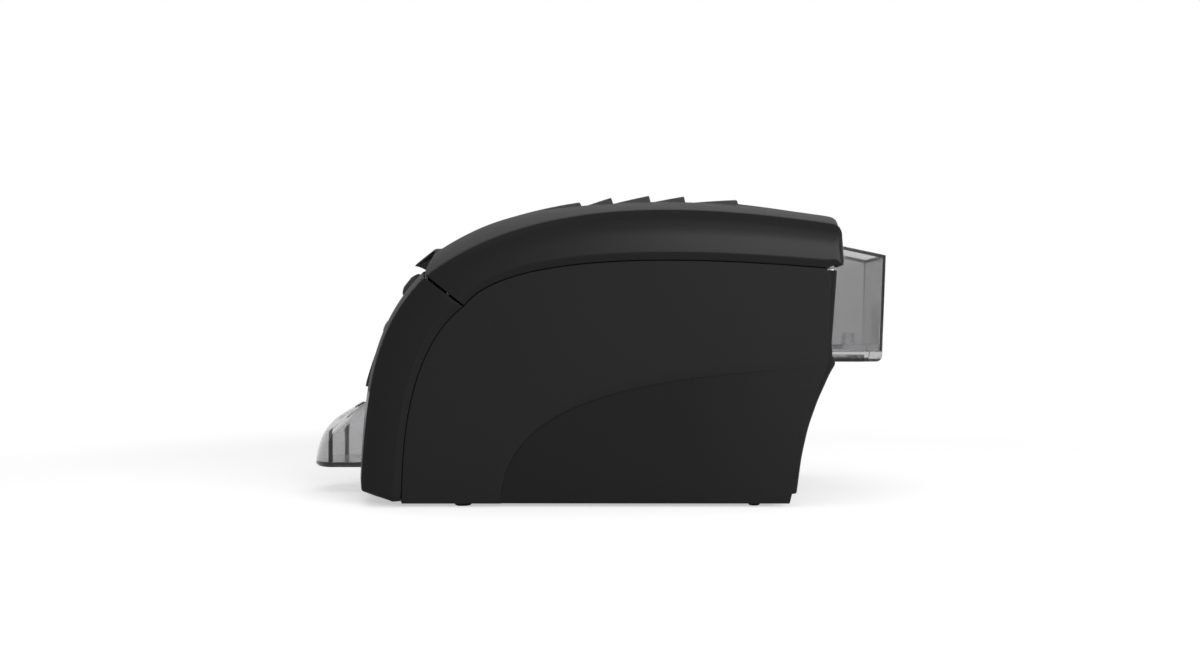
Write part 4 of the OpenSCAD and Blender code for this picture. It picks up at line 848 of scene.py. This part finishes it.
# Stations: three round the chin, then up the curve to the split with the cover.
chin = np.array([[-153.5, 4.6, -1, 0, -147, 4.6, 6, 0], [-166, 8.2, -0.96, -0.2, -146.6, 6.6, 9.6, 0],
                 [-176, 12, -0.97, -0.2, -146.2, 9, 12, 0]])
low_t = np.linspace(0.03, reached(rim_front, 85, 1), 16)
high_t = t_panel + (0.996 - t_panel) * lines(44, 0.006)[3:]
low_crown = np.linspace(12, PANEL_CROWN, 16)[:, None]
stations = joined(chin, *[
    stations_of(rim_front, seam_front, t, 0.06 + 0.94 * t, height, drop)
    for t, height, drop in ((low_t, low_crown, 0), (high_t, PANEL_CROWN, REBATE))])
stations = joined(bead(stations[:5], (0, 1.2, 1.5, 1.0, 0)), stations[5:])
hoop_plastic = plastic("hoop_black_abs", 0.0095, 0.32, gloss=0.09)
fascia = solid("front_fascia", [eased(*hoop(stations), 0.6, (0,))], hoop_plastic, 38)
tell_frame(carved(fascia, [block(*mouth)] + front_tools(0.01, -REBATE), crease=38), "front_fascia")

# ---- Front panel, button, display and keys ----
# A grey textured skin snaps into the fascia's field, with a raised band down its middle that ends in a lip
# over the stacker. The big release button, a dark display window and two keys stand in its openings.
SKIN = 2.4
LOUVRE_X = 57.0
panel_x = joined(np.linspace(-1, -0.965, 7), np.linspace(-0.95, -0.59, 16),
                 np.linspace(-0.575, -0.54, 9), np.linspace(-0.52, 0, 16)) * (rim_x - 1 - panel_gap)
panel_x = mirrored(panel_x)
panel_rows = lines(70, 0.006)
panel_t = t_panel + (0.992 - t_panel) * panel_rows
lip_share = np.interp(panel_rows, [0, 0.03, 0.12, 0.22, 0.3, 0.36, 1], [1, 1, 0.66, 0.3, 0.04, 0, 0])
band = smooth((LOUVRE_X + 0.6 - np.abs(panel_x)) / 2.2)
panel_height = PANEL_CROWN * crown(panel_x) + 2.6 * lip_share[:, None] * band
panel_out, panel_in = [raised(panel_x, offset(rim_front, panel_t[:, None], height))
                       for height in (panel_height, PANEL_CROWN * crown(panel_x) - SKIN)]
grey_plastic = plastic("panel_grey_abs", 0.05, 0.6, grain=1500.0, bump=0.00004, gloss=0.06, Mottle=0.2)
front_panel = solid("front_panel", [eased(panel_out, panel_in, 0.6)], grey_plastic)
tell_frame(carved(front_panel, front_tools(0.5)), "front_panel")


def cap(node, t, centre, outline, top, material, crease=40):
    """A solid button. Rings of its outline rise from the middle of the flat underside, turn over the top edge
    on a 1.1 mm radius and shrink to the middle of the top, whose height is top(x, along)."""
    edge, underside, shrinks = 1.1, 8.0, 12
    turn = np.linspace(0, math.pi / 2, 6)
    rings = [outline(0) * 0, outline(0)] + [outline(edge * (math.cos(a) - 1)) for a in turn]
    rings += [outline(-edge) * share for share in np.linspace(1, 0, shrinks)[1:]]
    below = joined(edge * (1 - np.sin(turn)), np.zeros(shrinks - 1))
    rows = [on_front(t, *(ring + centre).T, np.full(len(ring), underside)) for ring in rings[:2]]
    rows += [on_front(t, *(ring + centre).T, top(*ring.T) - drop) for ring, drop in zip(rings[2:], below)]
    rows = np.stack(rows)
    return piece_of(node, mesh_of(rows, quads(*rows.shape[:2]).tolist(), crease), material)


button_outline = (45.2, 22.2, 5.6)
button_rise, barrel_along, barrel_wide = 8.8, 19, 122


def button_top(x, along):
    """Top of the button, a barrel: d from its middle, an arc of radius r lies r - sqrt(r^2 - d^2) lower."""
    drops = [r - np.sqrt(r ** 2 - d ** 2) for r, d in ((barrel_along, along), (barrel_wide, x))]
    return PANEL_CROWN + button_rise - drops[0] - drops[1]


button_plastic = plastic("button_grey_abs", 0.055, 0.5, grain=1500.0, bump=0.00003, gloss=0.15)
button = cap("release_button", t_button, button_middle,
             lambda grow: rounded_outline(*button_outline, grow), button_top, button_plastic)
tell_frame(button, "release_button")

key_rise, key_dome = 0.8, 0.008
key_plastic = plastic("key_grey_plastic", 0.13, 0.4, grain=1500.0, bump=0.00002, gloss=0.45)
for node, x in zip(("control_keys_a", "control_keys_b"), key_places):
    top = PANEL_CROWN * float(crown(x)) + key_rise
    key = cap(node, t_display, (x, 0), lambda grow: round_hole(key_r, grow),
              lambda px, along, top=top: top - key_dome * (px ** 2 + along ** 2), key_plastic)
    tell_frame(key, node)


def build_display_glass():
    """Smoked window with a faint grid of the liquid-crystal cells under it."""
    group, given = effect_group("display_cells", Colour=(0.006, 0.007, 0.009, 1), Roughness=0.06, Cells=0.8)
    lit_cells = cells(group, 420.0, 0.03, 1, 0, offset=0.0)
    smear = noise(group, 60.0)
    shade = maths(group, "MULTIPLY_ADD", lit_cells, given["Cells"], 0.6)
    return effect_result(group, given, shade, smear, 0.05, smear)


window_glass = finish("display_window", build_display_glass(), {}, 0.000002, Specular_IOR_Level=0.6)
dressed("display_lens", window_glass, 0.4)

# ---- Rear cover ----
# The back is one bowed ABS panel with round vertical corners, cut out for the hopper, the hinge ears and the
# recess of the sockets.
rear_line = np.array([[152.1, 9.5], [155.7, 36.6], [160.8, 59.3], [168, 79.5], [177.2, 99.8], [181.2, 106.6],
                      [181, 110], [179.2, 113], [178.5, 121], [180, 141], [181.4, 160], [182.6, 177.4]])
tray_x = side_x - WALL - 0.3
rear_half = np.array([[tray_x, -8.5], [tray_x - 0.6, -5], [tray_x - 3.6, -1.9], [tray_x - 9, -0.4], [84, 0.2],
                      [60, 1], [30, 1.8], [0, 2]])
rear_down = bead(rear_line, (0, 8, 7, 6, 3, 1.2, 0.8, 1.2, 3, 6, 6, 0), 6)
rear_across = bead(rear_half, (0, 1, 1.5, 3, 6, 9, 9, 0), 6)
rear_across = mirrored(rear_across, [-1, 1])
rear_rows = spaced(rear_down, np.unique(joined(lines(60, 0.004), np.linspace(0.45, 0.62, 30))))


def rear_grid(inset):
    """The rear line carried across the bowed half section, drawn in by inset except at the outermost edge."""
    x = rear_across[:, 0] * (1 - inset / tray_x)
    dip = rear_across[:, 1] - np.where(np.abs(rear_across[:, 0]) > tray_x - 1, 0, inset)
    return raised(x, np.stack(np.broadcast_arrays(rear_rows[:, :1] + dip, rear_rows[:, 1:]), -1))


rear = solid("rear_cover", [eased(rear_grid(0), rear_grid(WALL), 0.5, (0,))], side_plastic, 40)
hopper_hole, ear_hole = ((-42, 160, 103), (42, 200, 190)), ((41, 160, 171), (62.8, 200, 190))
port_hole = (-29, 140, 16.5), (47, 170, 47.5)
carved(rear, [block(*hopper_hole), *both_sides(*ear_hole), block(*port_hole)], crease=40)
tell_frame(rear, "rear_cover")

# ---- Output stacker ----
# The card tray is one smoked acrylic moulding: side walls that slide between guides, a bowed nose with a
# finger notch, and a thick floor. It is drawn out of the front fascia's mouth.
CLEAR = 2.2
tray_half, tray_rear, tray_low, tray_floor, bow = 31.0, -128.0, 20.9, 24.9, 1.15
nose_foot = np.array([-235.3, tray_low])
nose_line = nose_foot + [[0, 1], [0.4, 6.5], [1.9, 14], [5.3, 23.5], [9.1, 30.3], [17.8, 39.9], [30.5, 47.7],
                         [42, 53.5]]
side_foot = np.array([-218.9, tray_low])
side_line = side_foot + [[0, 1], [0, 6], [0, 13], [0.2, 20], [1.6, 26.6], [8, 33.3], [16.2, 41.3],
                         [22.7, 50.6]]
corner_r = (0, 2, 3, 3, 3, 4, 4, 0)
climb = lines(34, 0.02)
nose_rows = spaced(bead(nose_line, corner_r), climb)
side_rows = spaced(bead(side_line, corner_r), climb)
back_top = bead(np.array([side_line[-1], [-182, 77.5], [tray_rear, 76]]), (0, 6, 0), 8)
run_back = lines(22, 0.01)
turn = np.linspace(0, 90, 31)[1:]


def stacker_wall(inset):
    """Half plan of the wall on every row, from the rear edge of the side round to the middle of the nose. The
    nose runs from the side line to the nose line by the 1.15th power of the sine of the angle."""
    shift = np.stack([np.full(len(climb), 0.8 * inset), -0.5 * inset * np.minimum(1, climb * 12)], -1)
    foot = np.array([side_rows[0], [tray_rear, side_rows[0, 1]]])
    flat = patch(spaced(foot, run_back), spaced(back_top, run_back), side_rows,
                 spaced(np.array([foot[1], back_top[-1]]), climb), run_back, climb)
    flat = flat + shift[:, None] * (1 - smooth(run_back * 5))[None, :, None]
    side = raised(tray_half - inset, flat)[:, ::-1]
    share = (np.sin(np.radians(turn)) ** bow)[None, :, None]
    front = side_rows[:, None] * (1 - share) + nose_rows[:, None] * share + shift[:, None]
    return whole(joined(side, raised((tray_half - inset) * np.cos(np.radians(turn)), front), axis=1))


def build_smoked_edges():
    """Smoked sheet with dark edges. Where a wall is met edge-on, light runs the whole length of its tint: on
    the sides within Band of the end wall, on the ends within Band of a side, and along the foot and rim."""
    group, given = effect_group("smoked_edges", Colour=(0.5, 0.5, 0.5, 1), Roughness=0.07, Edge_Shade=0.012,
                                Side=1.0, End=9.0, Band=0.001, Foot=-1.0, Rim_Start=0.0, Rim=9.0,
                                Rim_At_End=9.0)
    here = node_of(group, "TexCoord").outputs
    x, y, z = node_of(group, "SeparateXYZ", here["Object"]).outputs
    across, along, upright = [maths(group, "GREATER_THAN", maths(group, "ABSOLUTE", part), 0.6)
                              for part in node_of(group, "SeparateXYZ", here["Normal"]).outputs]
    from_middle = maths(group, "ADD", maths(group, "ABSOLUTE", x), given["Band"])
    at_side = maths(group, "GREATER_THAN", from_middle, given["Side"])
    from_end = maths(group, "ABSOLUTE", maths(group, "SUBTRACT", y, given["End"]))
    at_end = maths(group, "LESS_THAN", from_end, given["Band"])
    at_foot = maths(group, "LESS_THAN", z, given["Foot"])
    rim = node_of(group, "MapRange", Value=y, From_Min=given["Rim Start"], From_Max=given["End"],
                  To_Min=given["Rim"], To_Max=given["Rim At End"])
    at_rim = maths(group, "GREATER_THAN", z, rim.outputs[0])
    level = maths(group, "MULTIPLY", maths(group, "MAXIMUM", at_foot, at_rim),
                  maths(group, "SUBTRACT", 1.0, upright))
    standing = maths(group, "MAXIMUM", maths(group, "MULTIPLY", at_side, along),
                     maths(group, "MULTIPLY", at_end, across))
    edge = maths(group, "MAXIMUM", level, standing)
    shade = maths(group, "MULTIPLY_ADD", edge, maths(group, "SUBTRACT", given["Edge Shade"], 1.0), 1.0)
    wave = noise(group, 40.0)
    return effect_result(group, given, shade, wave, 0.03, wave)


smoked_edges = build_smoked_edges()


def smoked_plastic(name, tint, **edges):
    """Smoked acrylic: light passes, each surface takes its share, and a surface seen aslant takes more."""
    made = finish(name, smoked_edges, {"Colour": (tint, tint, tint * 1.01, 1), **edges}, 0.000002,
                  Transmission_Weight=1.0, IOR=1.46)
    inside = made.node_tree
    colour = inside.nodes["Principled BSDF"].inputs["Base Color"]
    steepness, loss = 6.0, 0.92
    aslant = maths(inside, "POWER", node_of(inside, "LayerWeight").outputs["Facing"], steepness)
    passed = maths(inside, "MULTIPLY_ADD", aslant, -loss, 1.0)
    feed(inside, colour, tinted(inside, colour.links[0].from_socket, passed))
    return made


tray_smoke = smoked_plastic("stacker_smoked_acrylic", 0.6, End=-0.2172, Band=0.0016, Foot=tray_floor * MM)
stacker = solid("output_stacker", [eased(stacker_wall(0), stacker_wall(CLEAR), 0.9)], tray_smoke, 40)
plan = np.linspace(-90, 90, 61)
share = np.cos(np.radians(plan)) ** bow
front_y = side_foot[0] * (1 - share) + nose_foot[0] * share + 1
floor_y = front_y + (tray_rear - 1 - front_y) * lines(12, 0.01)[:, None]
floor_x = (tray_half - 1) * np.sin(np.radians(plan))
floor_faces = [raised(floor_x, np.stack(np.broadcast_arrays(floor_y, z), -1)) for z in (tray_floor, tray_low)]
notch_r, notch_rise, notch_reach = 15, 40, (-240.0, -180.0)
notch_angle = np.radians(np.linspace(180, 360, 37))
notch = notch_r * joined(np.stack([np.cos(notch_angle), np.sin(notch_angle)], -1),
                         [[1, 2], [-1, 2], [-1, 0]])
notch_rows = np.stack([np.insert(notch + [0, tray_low + notch_rise], 1, y, axis=1) for y in notch_reach])
rear_sill = (-30, tray_rear - CLEAR, tray_low + 1), (30, tray_rear - 0.5, tray_floor + 10)
under_catch = (-9, -214, tray_low - 1.6), (9, -211, tray_low + 0.5)
tray_bottom = solid("stacker_floor", [eased(*floor_faces, 0.8)], tray_smoke).data
carved(stacker, [tray_bottom, block(*rear_sill), block(*under_catch)], "UNION", 40)
tell_frame(carved(stacker, [closed_mesh(notch_rows)], crease=40), "output_stacker")

# ---- Input hopper and card weight ----
# The hopper is a smoked acrylic box that slides on to the well behind the cover. A clear acrylic weight with
# a finger knob presses the cards down inside it.
(_, _, hopper_low), (_, hopper_rear, hopper_top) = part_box("input_hopper")
hopper_smoke = smoked_plastic("hopper_smoked_acrylic", 0.47, Side=0.033, End=hopper_rear - 0.0012,
                              Band=0.0014, Foot=hopper_low + 0.0026, Rim_Start=0.199,
                              Rim=hopper_top - 0.0026, Rim_At_End=hopper_top - 0.0102)
dressed("input_hopper", hopper_smoke, 0.6)
weight_acrylic = smoked_plastic("weight_clear_acrylic", 0.9)
dressed("card_weight", weight_acrylic, 0.5)

# ---- Cover shell ----
# The hinged cover's outer hoop: the same bevel, flank, crease and sunk field as the fascia, carried over the
# top and turned down over the rear corners, cut out round the hopper and clear of the hinge ears.
lid_t = 0.004 + 0.996 * lines(70, 0.006)[:-3]
lid_corner = np.array([[182, 210.2, 0.6, 0.8, 174, 179.6, 9, 1.2],
                       [184, 206, 0.97, 0.24, 175, 179.9, 6, 0],
                       [184.9, 193, 0.99, 0.12, 176, 180.2, 5, 0],
                       [185.7, 181.5, 0.99, 0.12, 177, 180.6, 5, 0]])
lid_run = stations_of(rim_top, seam_top, lid_t, lid_t, PANEL_CROWN - 3.5, REBATE)
lid_corner = bead(joined(lid_run[-1:], lid_corner), (0, 1.6, 1.6, 3, 0))
edge_run = np.linspace(0, 1, 5)[1:, None]
lid_end = lid_corner[-2:-1] * (1 - edge_run) + lid_corner[-1:] * edge_run
lid_stations = joined(lid_run[:-1], lid_corner[:-1], lid_end)
lid_shell = solid("lid_shell", [eased(*hoop(lid_stations), 0.6, (0,))], hoop_plastic, 38)
hopper_hole, ear_hole = ((-42, 176, 170), (42, 200, 217)), ((41, 170, 170), (63.2, 200, 187))
tell_frame(carved(lid_shell, [block(*hopper_hole), *both_sides(*ear_hole)], crease=38), "lid_shell")

# ---- Cover deck ----
# A grey textured skin snapped on the shell. Its middle band rises into a pull tab between two finger scoops
# at the front and breaks into five louvre steps towards the rear.
louvre_ends = np.array([-12, 12, 41, 68, 109.0])
louvre_peaks = np.array([19.4, 20.9, 21, 20.5, 20.2])
louvre_starts = np.append(louvre_peaks[1:] - 6.4, 16.2)
rise_y = np.linspace(rim_top[0, 0], louvre_ends[0], 80)
tip_rise = 3 * (1 - smooth((rise_y - rim_top[0, 0]) / 12))
rise = 21 + (louvre_peaks[0] - 21) * smooth((rise_y + 120) / 90) + tip_rise
middle_line = [np.stack([rise_y, rise], -1)]
for end, peak, start in zip(louvre_ends, louvre_peaks, louvre_starts):
    # Crest rounded on a small radius, then the riser and a soft foot.
    middle_line.append([[end + 0.9, peak - 0.5], [end + 2.0, start]])
middle_line = joined(*middle_line, [[181, 14.2]])


def deck_middle(y):
    """Height of the middle band over the rim's curve: straight ramps between the louvres' feet and crests."""
    return np.interp(y, middle_line[:, 0], middle_line[:, 1])


def deck_flank(y):
    """Height of the flanks beside the band, which sinks gently to the rear."""
    return 22 - 7 * smooth((y + 90) / 110)


def front_edge(x):
    """How far the front edge stands back from the split: a scoop on each side of the tab."""
    return np.where(x > 45, 13.6 * smooth((rim_x - x) / 46), 21.6 * smooth((x - 26) / 12) - 8)


crest_near = joined(*[louvre_ends + d for d in (-3, -1.2, -0.4, 0, 0.4, 0.9, 1.45, 2, 2.8, 5)])
deck_y = np.unique(joined(np.linspace(-112, 172, 96), crest_near))
deck_t = reached(rim_top, deck_y)
lead = lines(8, 0.06)[:-1]
tail_start = 0.955
tail_top = bead(np.array([[0.96, 0, 0], [1, 2, 0], [1, 8, 0.4], [1, 12, 4]]), (0, 1, 2, 0), 6)
tail_under = bead(np.array([[0.96, 0, SKIN], [1, 2, SKIN], [1, 7, SKIN + 0.2], [1, 10, 5]]), (0, 1, 2, 0), 6)
half_x = joined([102.9, 102.85, 102.7, 102.3], np.linspace(101.6, 59.5, 22),
                np.linspace(58.6, 56.4, 8), np.linspace(55.5, 40, 10), np.linspace(39, 25, 15),
                np.linspace(24, 0, 9))
deck_x = mirrored(half_x)
band = smooth((LOUVRE_X + 1.5 - np.abs(deck_x)) / 2)


def deck_rows(t, back, drop):
    """Rows of the deck at those places along the rim's curve, moved back along its tangent and down by drop.
    The height is the crown's share at X of the flank, or of the middle band."""
    y = bezier(rim_top, t)[:, :1]
    height = crown(deck_x) * (deck_flank(y) * (1 - band) + deck_middle(y) * band)
    t = t[:, None]
    return raised(deck_x, offset(rim_top, t, height - drop[:, None]) + heading(rim_top, t) * back[..., None])


def deck_face(tail, skin):
    """The whole face: from the scooped front edge to its end on the curve, then the tail turned down."""
    lead_t = deck_t[0] * lead
    back = front_edge(np.abs(deck_x)) * (1 - lead)[:, None]
    front_skin = skin * (0.6 + 0.4 * lead)
    middle = deck_t[deck_t < tail_start]
    t = joined(lead_t, middle, tail[:, 0])
    rest = np.zeros((len(t) - len(lead), len(deck_x)))
    rest[-len(tail):] = tail[:, 1:2] * (0.35 + 0.65 * crown(deck_x))
    drop = joined(front_skin, np.full(len(middle), skin), tail[:, 2])
    return deck_rows(t, joined(back, rest), drop)


deck_wall = eased(deck_face(tail_top, 0), deck_face(tail_under, SKIN), 0.7)
deck = solid("lid_deck", [deck_wall], grey_plastic, 34)
tell_frame(deck, "lid_deck")

bpy.context.view_layer.update()
